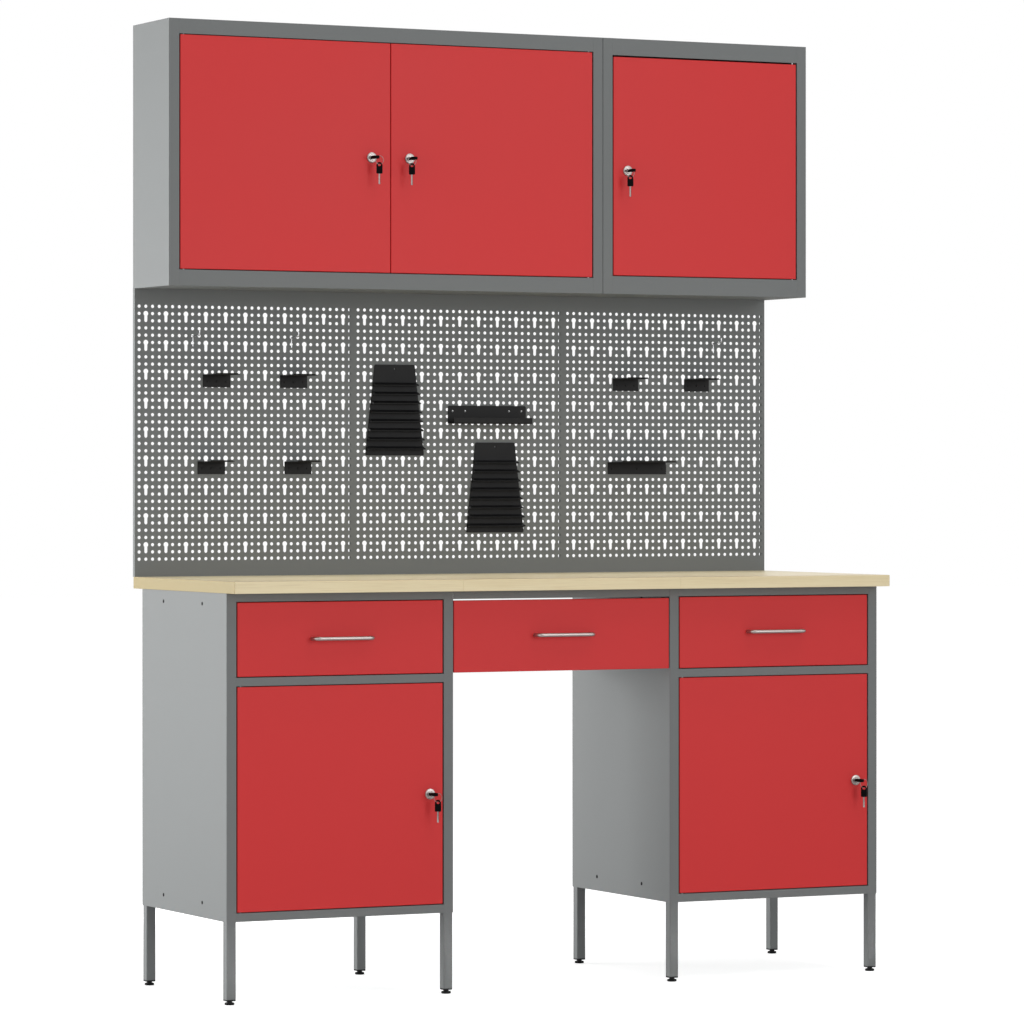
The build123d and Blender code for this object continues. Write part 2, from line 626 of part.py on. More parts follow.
# Cabinet shells
RAILS = {"wide": (WIDE_BOTTOM_RAIL, WIDE_TOP_RAIL), "narrow": (NARROW_BOTTOM_RAIL, NARROW_TOP_RAIL)}
cabinet_backs = []
cabinet_shelves = []
for name, (x_start, x_end) in CABINETS.items():
    low_rail, high_rail = RAILS[name]
    bottom = cabinet_pan(x_start, x_end, bottom_section(low_rail), CABINET_BOTTOM)
    top = cabinet_pan(x_start, x_end, top_section(high_rail), CABINET_TOP - SHEET)
    for door_name, door in DOORS.items():
        if door_name.startswith(name):
            bottom = drill_pivot(bottom, pivot_x(door), CABINET_FRONT, CABINET_BOTTOM + low_rail - SHEET)
            top = drill_pivot(top, pivot_x(door), CABINET_FRONT, CABINET_TOP - high_rail)
    save(f"{name}_cabinet_top_and_bottom", bottom, top)
    save(f"{name}_cabinet_sides", cabinet_side(x_start, False), cabinet_side(x_end, True))
    cabinet_backs.append(cabinet_back(x_start, x_end))
    rear = WALL - 2 * SHEET - SHELF_REAR_GAP
    cabinet_shelves += shelf(
        x_start + SHEET, x_end - SHEET, CABINET_FRONT + SHELF_SETBACK, rear, CABINET_SHELF_HEIGHT
    )
save("cabinet_backs", *cabinet_backs)
save("cabinet_shelves", *cabinet_shelves)

# Door stop: the flat upright behind the meeting edges of the wide cabinet's doors
with BuildPart() as door_stop:
    stop_low = CABINET_BOTTOM + WIDE_BOTTOM_RAIL
    stop_high = CABINET_TOP - WIDE_TOP_RAIL
    with BuildSketch(front_plane(WIDE_MIDDLE, CABINET_FRONT + PAN + STOP_GAP, (stop_low + stop_high) / 2)):
        Rectangle(STOP_WIDTH, stop_high - stop_low)
    extrude(amount=-STOP_THICKNESS)
save("wide_cabinet_door_stop", door_stop.part)


# Doors: folded sheet pans with a hole for the lock
def door_pan(door):
    x, z, _ = lock_place(door)
    with BuildPart() as pan:
        add(open_pan(door.middle, door.bottom, door.face, door.width, door.height, PAN))
        with BuildSketch(front_plane(x, door.face, z)):
            RegularPolygon(LOCK_BARREL / 2 + LOCK_BARREL_CLEARANCE, ROUND_SIDES, major_radius=False)
        extrude(amount=-SHEET, mode=Mode.SUBTRACT)
    return pan.part


# Door hardware: lock body and nut, the two pivot pins, and the key ring
def lock_body(door):
    x, z, _ = lock_place(door)
    with BuildPart() as body:
        with BuildSketch(front_plane(x, door.face, z)):
            RegularPolygon(LOCK_ROSETTE / 2, ROUND_SIDES)
        extrude(amount=LOCK_ROSETTE_THICKNESS)
        with BuildSketch(front_plane(x, door.face, z)):
            RegularPolygon(LOCK_BARREL / 2, ROUND_SIDES, major_radius=False)
        extrude(amount=-LOCK_BARREL_LENGTH)
        with BuildSketch(front_plane(x, door.face - LOCK_ROSETTE_THICKNESS, z)):
            RegularPolygon(PLUG_DIAMETER / 2 + PLUG_CLEARANCE, ROUND_SIDES, major_radius=False)
        extrude(amount=-LOCK_ROSETTE_THICKNESS - LOCK_BARREL_LENGTH, mode=Mode.SUBTRACT)
    return body.part


def lock_nut(door):
    x, z, _ = lock_place(door)
    with BuildPart() as nut:
        with BuildSketch(front_plane(x, door.face + SHEET, z)):
            RegularPolygon(LOCK_NUT / 2, 6, major_radius=False)
            RegularPolygon(
                LOCK_BARREL / 2 + LOCK_BARREL_CLEARANCE, ROUND_SIDES, major_radius=False, mode=Mode.SUBTRACT
            )
        extrude(amount=-LOCK_NUT_THICKNESS)
    return nut.part


def pivot_pin(door, z_start, length):
    with BuildPart() as pin:
        with BuildSketch(Plane.XY.offset(z_start)):
            with Locations((pivot_x(door), door.face + PIVOT_DEPTH)):
                RegularPolygon(PIVOT_DIAMETER / 2, PIN_SIDES)
        extrude(amount=length)
    return pin.part


def ring_middle(door):
    """X, Y and Z of the ring's centre. The ring passes through the hole of the key in the lock."""
    x, z, toward = lock_place(door)
    side = RING_RADIUS / sqrt(2)
    return x + toward * side, door.face - KEY_HOLE_REACH, z - side


def key_ring(door):
    x, y, z = ring_middle(door)
    with BuildPart() as ring:
        with BuildSketch(front_plane(x, y, z)):
            RegularPolygon(RING_RADIUS + RING_WIRE / 2, RING_SIDES)
            RegularPolygon(RING_RADIUS - RING_WIRE / 2, RING_SIDES, mode=Mode.SUBTRACT)
        extrude(amount=RING_WIRE / 2, both=True)
    return ring.part


# Locks: the plug and the cam on its rear end
def lock_plug(door):
    x, z, _ = lock_place(door)
    proud = LOCK_ROSETTE_THICKNESS + PLUG_PROUD
    with BuildPart() as plug:
        with BuildSketch(front_plane(x, door.face - proud, z)):
            RegularPolygon(PLUG_DIAMETER / 2, ROUND_SIDES)
        extrude(amount=-proud - CAM_DEPTH)
        with BuildSketch(front_plane(x, door.face - proud, z)):
            Rectangle(KEY_BLADE + KEYWAY_CLEARANCE, KEY_BLADE_THICKNESS + KEYWAY_CLEARANCE)
        extrude(amount=-proud - LOCK_BARREL_LENGTH, mode=Mode.SUBTRACT)
    return plug.part


def lock_cam(door):
    x, z, _ = lock_place(door)
    shoulder = CAM_WIDTH / 4
    with BuildPart() as cam:
        with BuildSketch(front_plane(x, door.face + CAM_DEPTH, z)):
            with BuildLine():
                Polyline((-CAM_WIDTH / 2, -shoulder), (-shoulder, -CAM_WIDTH / 2), (shoulder, -CAM_WIDTH / 2),
                         (CAM_WIDTH / 2, -shoulder), (CAM_WIDTH / 2, CAM_REACH), (-CAM_WIDTH / 2, CAM_REACH),
                         close=True)
            make_face()
        extrude(amount=-CAM_THICKNESS)
    return cam.part


# Keys: a plastic head with a hole for the ring, and a flat blade
def key(plane):
    """A key with the hole of its head at the plane's origin and its blade towards the plane's -y."""
    half, corner = KEY_HEAD_WIDTH / 2, KEY_HEAD_CORNER
    top, low = KEY_HOLE_INSET, KEY_HOLE_INSET - KEY_HEAD_LENGTH
    with BuildPart() as whole:
        with BuildSketch(plane):
            with BuildLine():
                Polyline((-half, low), (half, low), (half, top - corner), (half - corner, top),
                         (corner - half, top), (-half, top - corner), close=True)
            make_face()
            Rectangle(KEY_HOLE_WIDTH, KEY_HOLE_HEIGHT, mode=Mode.SUBTRACT)
        extrude(amount=KEY_HEAD_THICKNESS / 2, both=True)
        with BuildSketch(plane):
            with Locations((0, low)):
                Rectangle(KEY_BLADE, KEY_BLADE_LENGTH, align=(Align.CENTER, Align.MAX))
        extrude(amount=KEY_BLADE_THICKNESS / 2, both=True)
    return whole.part


def key_in_lock(door):
    x, z, _ = lock_place(door)
    plane = Plane(origin=(x, door.face - KEY_HOLE_REACH, z), x_dir=(-1, 0, 0), z_dir=(0, 0, 1))
    return key(plane)


def spare_key(door):
    x, y, z = ring_middle(door)
    hole_top = z - RING_RADIUS + RING_WIRE / 2 + RING_SLACK
    hole = hole_top - KEY_HOLE_HEIGHT / 2
    turn = radians(SPARE_KEY_TURN)
    plane = Plane(origin=(x, y, hole), x_dir=(cos(turn), -sin(turn), 0), z_dir=(-sin(turn), -cos(turn), 0))
    return key(plane)


for name, door in DOORS.items():
    top = door.bottom + door.height
    save(f"{name}_door", door_pan(door))
    save(f"{name}_door_hardware", lock_body(door), lock_nut(door), key_ring(door),
         pivot_pin(door, top, PIVOT_REACH), pivot_pin(door, door.bottom - PIVOT_REACH, PIVOT_REACH))
    save(f"{name}_door_cam", lock_plug(door), lock_cam(door))
    save(f"{name}_door_key", key_in_lock(door))
    save(f"{name}_door_spare_key", spare_key(door))


# Tool holders: black sheet brackets, a small tray and two stepped spanner racks
def bracket(x_start, z_top, width):
    points = [(PANEL_FACE, z_top - BRACKET_HEIGHT), (PANEL_FACE, z_top), (PANEL_FACE - BRACKET_REACH, z_top)]
    return folded(points, side_plane(x_start), width, BRACKET_SHEET)


def tray_holder(x_start, z_low):
    outer = PANEL_FACE - TRAY_HOLDER_REACH
    points = [(outer, z_low + TRAY_HOLDER_LIP), (outer, z_low), (PANEL_FACE, z_low),
              (PANEL_FACE, z_low + TRAY_HOLDER_HEIGHT)]
    return folded(points, side_plane(x_start), TRAY_HOLDER_WIDTH, BRACKET_SHEET)


def spanner_rack(middle, z_top):
    plate = PANEL_FACE - RACK_SHEET
    step_pitch = (RACK_HEIGHT - RACK_HEAD) / RACK_STEPS
    widening = (RACK_BOTTOM_WIDTH - RACK_TOP_WIDTH) / RACK_HEIGHT
    half_top, half_bottom = RACK_TOP_WIDTH / 2, RACK_BOTTOM_WIDTH / 2
    with BuildPart() as rack:
        with BuildSketch(front_plane(middle, PANEL_FACE, z_top)):
            Polygon((-half_top, 0), (-half_bottom, -RACK_HEIGHT), (half_bottom, -RACK_HEIGHT), (half_top, 0),
                    align=None)
        extrude(amount=RACK_SHEET)
        for step in range(RACK_STEPS):
            drop = RACK_HEAD + step * step_pitch
            width = RACK_TOP_WIDTH + widening * drop
            ridge = z_top - drop
            with BuildSketch(side_plane(middle)):
                with BuildLine():
                    Polyline((plate, ridge), (plate - RACK_STEP_REACH, ridge - RACK_STEP_RISE),
                             (plate, ridge - RACK_STEP_RISE), close=True)
                make_face()
            extrude(amount=width / 2, both=True)
    return rack.part


brackets = [bracket(x, z, BRACKET_WIDTH) for x, z in BRACKET_PLACES]
save("tool_brackets", *brackets, bracket(DRIVER_RACK_X, LOWER_BRACKET_Z, DRIVER_RACK_WIDTH))
save("tool_tray", tray_holder(TRAY_HOLDER_X, TRAY_HOLDER_Z))
save("spanner_racks", *[spanner_rack(x, z) for x, z in RACK_PLACES])
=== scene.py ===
# %% [markdown]
# # A workshop bench with a tool wall
# The bench has two steel pedestals under a pale wooden top, a perforated tool wall behind it and two wall
# cabinets above. The sizes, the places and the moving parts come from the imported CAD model. This lesson
# dresses that model: it replaces what shows with finer pieces, and gives every surface its finish.

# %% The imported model
import json
from math import cos, pi, radians

import bpy
from mathutils import Matrix, Vector


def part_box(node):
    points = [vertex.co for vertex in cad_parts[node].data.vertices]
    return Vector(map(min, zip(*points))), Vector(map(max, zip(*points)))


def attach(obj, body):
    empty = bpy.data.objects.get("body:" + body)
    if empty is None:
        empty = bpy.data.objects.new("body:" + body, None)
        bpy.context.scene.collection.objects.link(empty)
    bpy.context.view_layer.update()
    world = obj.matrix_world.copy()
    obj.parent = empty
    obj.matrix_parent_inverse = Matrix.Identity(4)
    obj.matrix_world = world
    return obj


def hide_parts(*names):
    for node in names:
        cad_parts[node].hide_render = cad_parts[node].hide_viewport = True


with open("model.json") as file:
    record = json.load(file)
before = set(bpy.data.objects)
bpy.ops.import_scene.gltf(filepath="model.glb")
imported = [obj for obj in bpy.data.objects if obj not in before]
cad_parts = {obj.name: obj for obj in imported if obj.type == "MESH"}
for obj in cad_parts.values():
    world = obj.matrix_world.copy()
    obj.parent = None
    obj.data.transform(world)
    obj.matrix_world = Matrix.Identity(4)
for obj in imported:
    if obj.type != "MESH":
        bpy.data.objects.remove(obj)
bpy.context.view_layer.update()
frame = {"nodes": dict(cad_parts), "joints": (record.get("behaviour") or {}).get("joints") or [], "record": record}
bpy.context.scene.view_settings.view_transform = "Standard"
MM = 0.001


def mm(*values):
    """Lengths in millimetres, as the metres of the model."""
    return tuple(value * MM for value in values)


# %% [markdown]
# ## Writing shader maths as Python
# A finish is a small network of nodes. Wiring it by hand is slow to read, so one class wraps a socket,
# and its operators add the Math nodes. Another class holds the material and adds any other kind of node.


# %% Sockets and finishes
class Link:
    """The output of a node. A link can be added to and multiplied by another link or a number."""

    def __init__(self, finish, socket):
        self.finish = finish
        self.socket = socket

    def __add__(self, other):
        return self.finish.node("ShaderNodeMath", {"operation": "ADD"}, {0: self, 1: other})

    def __mul__(self, other):
        return self.finish.node("ShaderNodeMath", {"operation": "MULTIPLY"}, {0: self, 1: other})


class Finish:
    """A material whose constant values are set on the shader and whose varying ones are fed by links."""

    def __init__(self, name, constants):
        self.material = bpy.data.materials.new(name)
        self.material.use_nodes = True
        self.tree = self.material.node_tree
        self.surface = self.tree.nodes["Principled BSDF"]
        for socket, value in constants.items():
            self.surface.inputs[socket].default_value = value

    def node(self, kind, settings=None, inputs=None, output=0):
        made = self.tree.nodes.new(kind)
        for name, value in (settings or {}).items():
            if name == "stops":
                self.set_stops(made.color_ramp, value)
            else:
                setattr(made, name, value)
        for name, value in (inputs or {}).items():
            if isinstance(value, Link):
                self.tree.links.new(value.socket, made.inputs[name])
            else:
                made.inputs[name].default_value = value
        return Link(self, made.outputs[output])

    def set_stops(self, ramp, stops):
        ramp.elements[0].position, ramp.elements[0].color = stops[0]
        ramp.elements[-1].position, ramp.elements[-1].color = stops[-1]
        for place, colour in stops[1:-1]:
            ramp.elements.new(place).color = colour

    def feed(self, socket, link):
        self.tree.links.new(link.socket, self.surface.inputs[socket])

    def place(self, stretch=(1, 1, 1)):
        """Object coordinates, stretched along the axes."""
        spot = self.node("ShaderNodeTexCoord", output="Object")
        return self.node("ShaderNodeMapping", {}, {"Vector": spot, "Scale": stretch})

    def noise(self, vector, scale, detail=2.0, roughness=0.5):
        settings = {"Vector": vector, "Scale": scale, "Detail": detail, "Roughness": roughness}
        return self.node("ShaderNodeTexNoise", {}, settings)

    def between(self, factor, first, second):
        """A colour between two colours."""
        settings = {"data_type": "RGBA", "clamp_factor": True}
        return self.node("ShaderNodeMix", settings, {0: factor, 6: first, 7: second}, output=2)

    def relief(self, height, strength, distance):
        """A bump from a height between 0 and 1."""
        settings = {"Height": height, "Strength": strength, "Distance": distance}
        self.feed("Normal", self.node("ShaderNodeBump", {}, settings))


def from_screen(red, green, blue):
    """A screen colour, 0 to 255, as the linear values that light works with."""
    def linear(value):
        value = value / 255
        return value / 12.92 if value <= 0.04045 else ((value + 0.055) / 1.055) ** 2.4
    return (linear(red), linear(green), linear(blue), 1.0)


def shade(colour, amount):
    """The same colour, darker or lighter."""
    return tuple(min(1.0, part * amount) for part in colour[:3]) + (1.0,)


print("finish tools ready")

# %% [markdown]
# ## Powder coat
# The steel is powder coated: a dry paint that melts into a tough skin. Seen close it has a fine
# ripple like orange peel and a very fine speckle, and over a whole door its tone drifts a
# little. A plain colour would look like plastic, so three noises at those three sizes give the
# ripple, the speckle and the drift.


# %% Grey, red and black powder coat
def powder_coat(name, colour, roughness, ripple):
    finish = Finish(name, {"Specular IOR Level": 0.25})
    spot = finish.place()
    drift = finish.noise(spot, scale=2.2, detail=3.0)
    speckle = finish.noise(spot, scale=2400.0, detail=1.0)
    peel = finish.noise(spot, scale=620.0, detail=2.0)
    tone = drift * 0.6 + speckle * 0.4
    finish.feed("Base Color", finish.between(tone, shade(colour, 0.93), shade(colour, 1.07)))
    finish.feed("Roughness", drift * 0.08 + peel * 0.06 + (roughness - 0.07))
    finish.relief(peel, ripple, distance=0.4 * MM)
    return finish.material


GREY_COAT = powder_coat("grey_powder_coat", from_screen(115, 118, 118), 0.5, 0.10)
RED_COAT = powder_coat("red_powder_coat", from_screen(209, 49, 50), 0.45, 0.10)
BLACK_COAT = powder_coat("black_powder_coat", from_screen(13, 13, 14), 0.55, 0.16)
print("powder coats", GREY_COAT.name, RED_COAT.name, BLACK_COAT.name)

# %% [markdown]
# ## Lacquered board
# The top is pale wood under a clear satin lacquer. Its grain runs along the bench, so the noise
# is squeezed across the grain and stretched along it. Broad bands carry the tone, and thin dark
# pores lie within them.


# %% The worktop's wood
def painted_end_shade(finish):
    """1 on the two cut ends of the top, where a darker colour is painted on as shade, and 0 elsewhere."""
    length = finish.node("ShaderNodeSeparateXYZ", {}, {"Vector": finish.place()})
    ends = finish.node("ShaderNodeMath", {"operation": "ABSOLUTE"}, {0: length})
    inner, outer = TOP_END - 0.6 * MM, TOP_END - 0.3 * MM
    return finish.node("ShaderNodeMapRange", {}, {"Value": ends, "From Min": inner, "From Max": outer})


def lacquered_board(name):
    finish = Finish(name, {"Specular IOR Level": 0.45, "Coat Weight": 0.25, "Coat Roughness": 0.3})
    bands = finish.noise(finish.place((0.9, 14.0, 14.0)), scale=3.0, detail=4.0, roughness=0.6)
    fibres = finish.noise(finish.place((4.0, 220.0, 220.0)), scale=3.0, detail=3.0, roughness=0.6)
    pores = finish.noise(finish.place((10.0, 900.0, 900.0)), scale=1.2, detail=1.0)
    pale, honey = from_screen(233, 218, 178), from_screen(219, 199, 154)
    stops = [(0.32, pale), (0.52, from_screen(228, 212, 170)), (0.72, honey)]
    wood = finish.node("ShaderNodeValToRGB", {"stops": stops}, {"Fac": bands * 0.65 + fibres * 0.35})
    dark = {"Value": pores, "From Min": 0.62, "From Max": 0.74}
    pore_mask = finish.node("ShaderNodeMapRange", {}, dark)
    long_grain = finish.between(pore_mask * 0.35, wood, from_screen(190, 166, 122))
    # painted shade: the ends take a darker colour, so the left lamp lights them no brighter than the front edge
    shaded_ends = painted_end_shade(finish)
    finish.feed("Base Color", finish.between(shaded_ends, long_grain, from_screen(153, 136, 88)))
    finish.feed("Roughness", fibres * 0.12 + shaded_ends * 0.25 + 0.34)
    finish.relief(fibres, strength=0.08, distance=0.3 * MM)
    return finish.material


TOP_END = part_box("worktop")[1].x
BOARD = lacquered_board("pale_lacquered_board")
print("wood", BOARD.name)

# %% [markdown]
# ## Bright metal and black plastic
# Handles, locks and key rings are chromed, runners are zinc plated, and the feet, racks and key heads are
# moulded plastic. Chrome needs faint smudges in its roughness, zinc needs its blotchy spangle, and
# plastic needs the fine grain that the mould leaves.


# %% Chrome, zinc, key steel and plastic
def polished_metal(name, colour, roughness, smudge):
    finish = Finish(name, {"Metallic": 1.0})
    cloud = finish.noise(finish.place(), scale=45.0, detail=3.0)
    scratch = finish.noise(finish.place((30.0, 30.0, 1200.0)), scale=1.0, detail=2.0)
    finish.feed("Base Color", finish.between(cloud, shade(colour, 0.94), shade(colour, 1.04)))
    finish.feed("Roughness", cloud * smudge + scratch * (smudge * 0.5) + (roughness - smudge * 0.7))
    return finish.material


def zinc_plate(name):
    finish = Finish(name, {"Metallic": 1.0})
    pattern = {"Vector": finish.place(), "Scale": 130.0}
    spangle = finish.node("ShaderNodeTexVoronoi", {}, pattern, output="Color")
    grain = finish.noise(finish.place((1.0, 20.0, 400.0)), scale=6.0, detail=2.0)
    flat = finish.node("ShaderNodeRGBToBW", {}, {"Color": spangle})
    dull, bright = from_screen(150, 152, 154), from_screen(186, 188, 190)
    finish.feed("Base Color", finish.between(flat * 0.5 + grain * 0.5, dull, bright))
    finish.feed("Roughness", flat * 0.12 + grain * 0.1 + 0.26)
    return finish.material


def moulded_plastic(name, colour, roughness, gloss):
    finish = Finish(name, {"Specular IOR Level": gloss})
    spot = finish.place()
    grain = finish.noise(spot, scale=1500.0, detail=2.0)
    cloud = finish.noise(spot, scale=30.0, detail=2.0)
    finish.feed("Base Color", finish.between(cloud, shade(colour, 0.85), shade(colour, 1.2)))
    finish.feed("Roughness", cloud * 0.1 + grain * 0.1 + (roughness - 0.1))
    finish.relief(grain, strength=0.18, distance=0.2 * MM)
    return finish.material


CHROME = polished_metal("bright_chrome", from_screen(206, 207, 209), 0.12, 0.07)
SATIN = polished_metal("satin_nickel", from_screen(176, 168, 165), 0.36, 0.10)
KEY_STEEL = polished_metal("key_steel", from_screen(150, 144, 142), 0.38, 0.12)
ZINC = zinc_plate("zinc_plate")
PLASTIC = moulded_plastic("moulded_black_plastic", from_screen(18, 18, 19), 0.48, 0.18)
KEY_PLASTIC = moulded_plastic("key_head_plastic", from_screen(7, 7, 8), 0.55, 0.05)
print("metals and plastic", CHROME.name, ZINC.name, PLASTIC.name)

# %% [markdown]
# ## A coat for every CAD node
# Pieces inside the bench keep their CAD shape. Each takes the finish of its material slot, and the finer
# pieces that follow take the same finishes.

# %% Finishes on the CAD nodes
FINISHES = {"grey_paint": GREY_COAT, "red_paint": RED_COAT, "worktop_board": BOARD, "chrome": CHROME,
            "zinc_steel": ZINC, "black_paint": BLACK_COAT, "black_plastic": PLASTIC}
SLOT_OF = {part["node"]: part["material_slot"] for part in frame["record"]["subparts"]}
for name, node in frame["nodes"].items():
    node.data.materials.clear()
    node.data.materials.append(FINISHES[SLOT_OF[name]])
print("finished nodes", len(SLOT_OF))

# %% [markdown]
# ## Hand tools
# A person at the screen selects, extrudes, bevels and applies modifiers. These helpers do the
# same with Blender's operators. An operator acts on all that is selected, so each helper first
# clears the selection.


# %% Selecting and editing
TOUCH = 0.01 * MM  # points closer than this count as touching
MOSTLY = 0.9  # a direction that agrees this well with an axis runs along it


def put_down():
    """Object mode, with nothing selected."""
    if bpy.context.object and bpy.context.object.mode != "OBJECT":
        bpy.ops.object.mode_set(mode="OBJECT")
    bpy.ops.object.select_all(action="DESELECT")


def take(*pieces):
    """Selects these pieces alone and makes the first one active."""
    put_down()
    for piece in pieces:
        piece.select_set(True)
    bpy.context.view_layer.objects.active = pieces[0]
    return pieces[0]


def settle(piece):
    """Puts the piece's place, turn and scale into its mesh."""
    take(piece)
    bpy.ops.object.transform_apply(location=True, rotation=True, scale=True)
    return piece


def begin(add, name, **settings):
    """A new basic shape, the only one selected, with its place and turn in its mesh."""
    put_down()
    add(**settings)
    bpy.context.object.name = name
    return settle(bpy.context.object)


def edit_all(piece):
    """Edit mode with the whole mesh selected."""
    take(piece)
    bpy.ops.object.mode_set(mode="EDIT")
    bpy.ops.mesh.select_all(action="SELECT")


def extrude(*move):
    """Extrudes what is selected by a move along X, Y and Z."""
    bpy.ops.mesh.extrude_region_move(TRANSFORM_OT_translate={"value": move})


def runs(way, axis):
    """Whether a direction runs along an axis."""
    return abs(way["xyz".index(axis)]) > MOSTLY


def along(axis):
    """A test for choosing edges that run along an axis, or faces that look along it."""
    return lambda middle, way: runs(way, axis)


def at(x, y, z):
    """The matrix that moves a piece to a place."""
    return Matrix.Translation((x, y, z))


def block(name, low, high):
    """A box from its lowest to its highest corner."""
    middle = [(a + b) / 2 for a, b in zip(low, high)]
    size = [b - a for a, b in zip(low, high)]
    return begin(bpy.ops.mesh.primitive_cube_add, name, size=1, location=middle, scale=size)


def choose(piece, kind, test):
    """Edit mode with the faces, edges or vertices selected whose middle and direction pass the test."""
    take(piece)
    bpy.ops.object.mode_set(mode="EDIT")
    bpy.ops.mesh.select_mode(type=kind)
    bpy.ops.mesh.select_all(action="DESELECT")
    bpy.ops.object.mode_set(mode="OBJECT")
    mesh = piece.data
    if kind == "FACE":
        for face in mesh.polygons:
            face.select = test(face.center, face.normal)
    elif kind == "EDGE":
        for edge in mesh.edges:
            start, end = [mesh.vertices[index].co for index in edge.vertices]
            edge.select = test((start + end) / 2, (end - start).normalized())
    else:
        for vertex in mesh.vertices:
            vertex.select = test(vertex.co, vertex.normal)
    bpy.ops.object.mode_set(mode="EDIT")


def round_edges(piece, test, radius, segments):
    """Rounds the edges that pass the test."""
    choose(piece, "EDGE", test)
    bpy.ops.mesh.bevel(offset=radius, segments=segments)
    put_down()


print("selecting ready")


# %% Shaping and dressing
def shape(piece, kind, **settings):
    """Adds a modifier, sets it and applies it."""
    take(piece)
    bpy.ops.object.modifier_add(type=kind)
    modifier = piece.modifiers[-1]
    for name, value in settings.items():
        setattr(modifier, name, value)
    bpy.ops.object.modifier_apply(modifier=modifier.name)
    return piece


def cut(piece, cutter):
    """Takes the cutter's volume out of the piece and throws the cutter away."""
    shape(piece, "BOOLEAN", object=cutter, operation="DIFFERENCE", solver="EXACT")
    bpy.data.objects.remove(cutter)


def soften(piece, width, segments=2, angle=40):
    """Rounds the edges a little, as paint and tooling do, and keeps the flats flat to the eye."""
    if width:
        shape(piece, "BEVEL", width=width, segments=segments, limit_method="ANGLE",
              angle_limit=radians(angle))
    take(piece)
    bpy.ops.object.shade_smooth()
    return shape(piece, "WEIGHTED_NORMAL", keep_sharp=False, weight=80)


def smooth(piece, angle=40):
    take(piece)
    bpy.ops.object.shade_smooth_by_angle(angle=radians(angle))
    return piece


def outward(piece):
    """Merges doubled points and turns every face outwards."""
    edit_all(piece)
    bpy.ops.mesh.remove_doubles(threshold=TOUCH)
    bpy.ops.mesh.normals_make_consistent(inside=False)
    put_down()
    return piece


def twin(piece, name, move):
    """A copy with its own mesh, moved by a matrix."""
    take(piece)
    bpy.ops.object.duplicate()
    copy = bpy.context.object
    copy.name = name
    copy.data.name = name
    copy.matrix_world = move
    return settle(copy)


def joined(name, pieces):
    """The pieces in one object."""
    piece = take(*pieces)
    bpy.ops.object.join()
    piece.name = name
    return piece


def paint(piece, finish):
    piece.data.materials.clear()
    piece.data.materials.append(finish)
    return piece


def dress(piece, body, slot, *nodes):
    """The piece rides on a body and stands for CAD nodes. Its slot is not used."""
    put_down()
    piece.data.name = piece.name
    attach(piece, body)
    if nodes:
        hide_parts(*nodes)


def throw_away(*pieces):
    put_down()
    for piece in pieces:
        bpy.data.objects.remove(piece)


def spread(pattern, moves):
    """Copies of a pattern, one for each move. They take the pattern's place."""
    copies = [twin(pattern, "copy", move) for move in moves]
    throw_away(pattern)
    return copies


def report(piece):
    print(piece.name, len(piece.data.polygons), "faces")


def on_frame(name, pieces, finish, slot, *nodes):
    """Joins pieces that never move into one, paints it and dresses it."""
    piece = paint(joined(name, pieces), finish)
    dress(piece, "frame", slot, *nodes)
    report(piece)


print("hand tools ready")

# %% [markdown]
# ## A lathe
# Feet, locks and rosettes are turned parts. A circle is extruded and scaled from ring to ring, as a lathe
# follows a profile. The profile is a list of radii and heights, so the part's drawing can be read there.


# %% Turned pieces
def disc(name, radius, sides, place, turn=0, fill="NGON"):
    """Edit mode with a round face or an open circle to extrude, flat or turned about X."""
    piece = begin(bpy.ops.mesh.primitive_circle_add, name, vertices=sides, radius=radius,
                  fill_type=fill, location=place, rotation=(radians(turn), 0, 0))
    edit_all(piece)
    return piece


def turned(name, rings, sides=24, bore=False):
    """A piece turned about Z. A bored one joins its last ring to its first, any other has end caps."""
    radius, height = rings[0]
    piece = disc(name, radius, sides, (0, 0, height), fill="NOTHING")
    if not bore:
        bpy.ops.mesh.edge_face_add()
        bpy.ops.mesh.select_all(action="SELECT")
    for wider, higher in rings[1:]:
        extrude(0, 0, higher - height)
        factor = wider / radius
        bpy.ops.transform.resize(value=(factor, factor, 1), center_override=(0, 0, higher))
        radius, height = wider, higher
    put_down()
    if bore:
        ends = rings[0], rings[-1]
        choose(piece, "EDGE", lambda middle, way: any(on_ring(middle, ring, sides) for ring in ends))
        bpy.ops.mesh.bridge_edge_loops()
    return outward(piece)


def on_ring(middle, ring, sides):
    """Whether an edge's middle lies on a ring of the profile."""
    radius, height = ring
    reach = Vector((middle.x, middle.y)).length
    return abs(middle.z - height) < TOUCH / 10 and abs(reach - radius * cos(pi / sides)) < TOUCH / 10


TO_FRONT = Matrix.Rotation(radians(90), 4, "X")  # turns +Z to -Y, the way a user stands
print("lathe ready")

# %% [markdown]
# ## Camera
# The photograph was taken from the left, level with the bench, from far away with a long lens. The camera
# stays level and its frame is shifted down a little, which keeps every upright upright.

# %% Camera
IMAGE_WIDTH = 1024
FOCAL_PIXELS = 4804.17
HORIZON_ROW = 476.8
SENSOR = 36.0
EYE_PLACE = (-4.51565, -8.9953, 1.04944)
EYE_TURN = -26.63
eye = bpy.data.cameras.new("photo_camera")
eye.sensor_width = SENSOR
eye.lens = FOCAL_PIXELS * SENSOR / IMAGE_WIDTH
eye.shift_y = (HORIZON_ROW - IMAGE_WIDTH / 2) / IMAGE_WIDTH
camera = bpy.data.objects.new("photo_camera", eye)
camera.location = EYE_PLACE
camera.rotation_euler = (radians(90), 0, radians(EYE_TURN))
bpy.context.collection.objects.link(camera)
bpy.context.scene.camera = camera
print("lens", round(eye.lens, 1), "shift", round(eye.shift_y, 4))

# %% [markdown]
# ## Studio
# The left faces are brightest, also inside the knee space, so a long soft lamp stands on the left,
# another behind it, and a small one shines into the knee space. One hangs overhead and a weak one fills
# the front. Two faint narrow beams lift the worktop and the legs, which the others leave too dark.


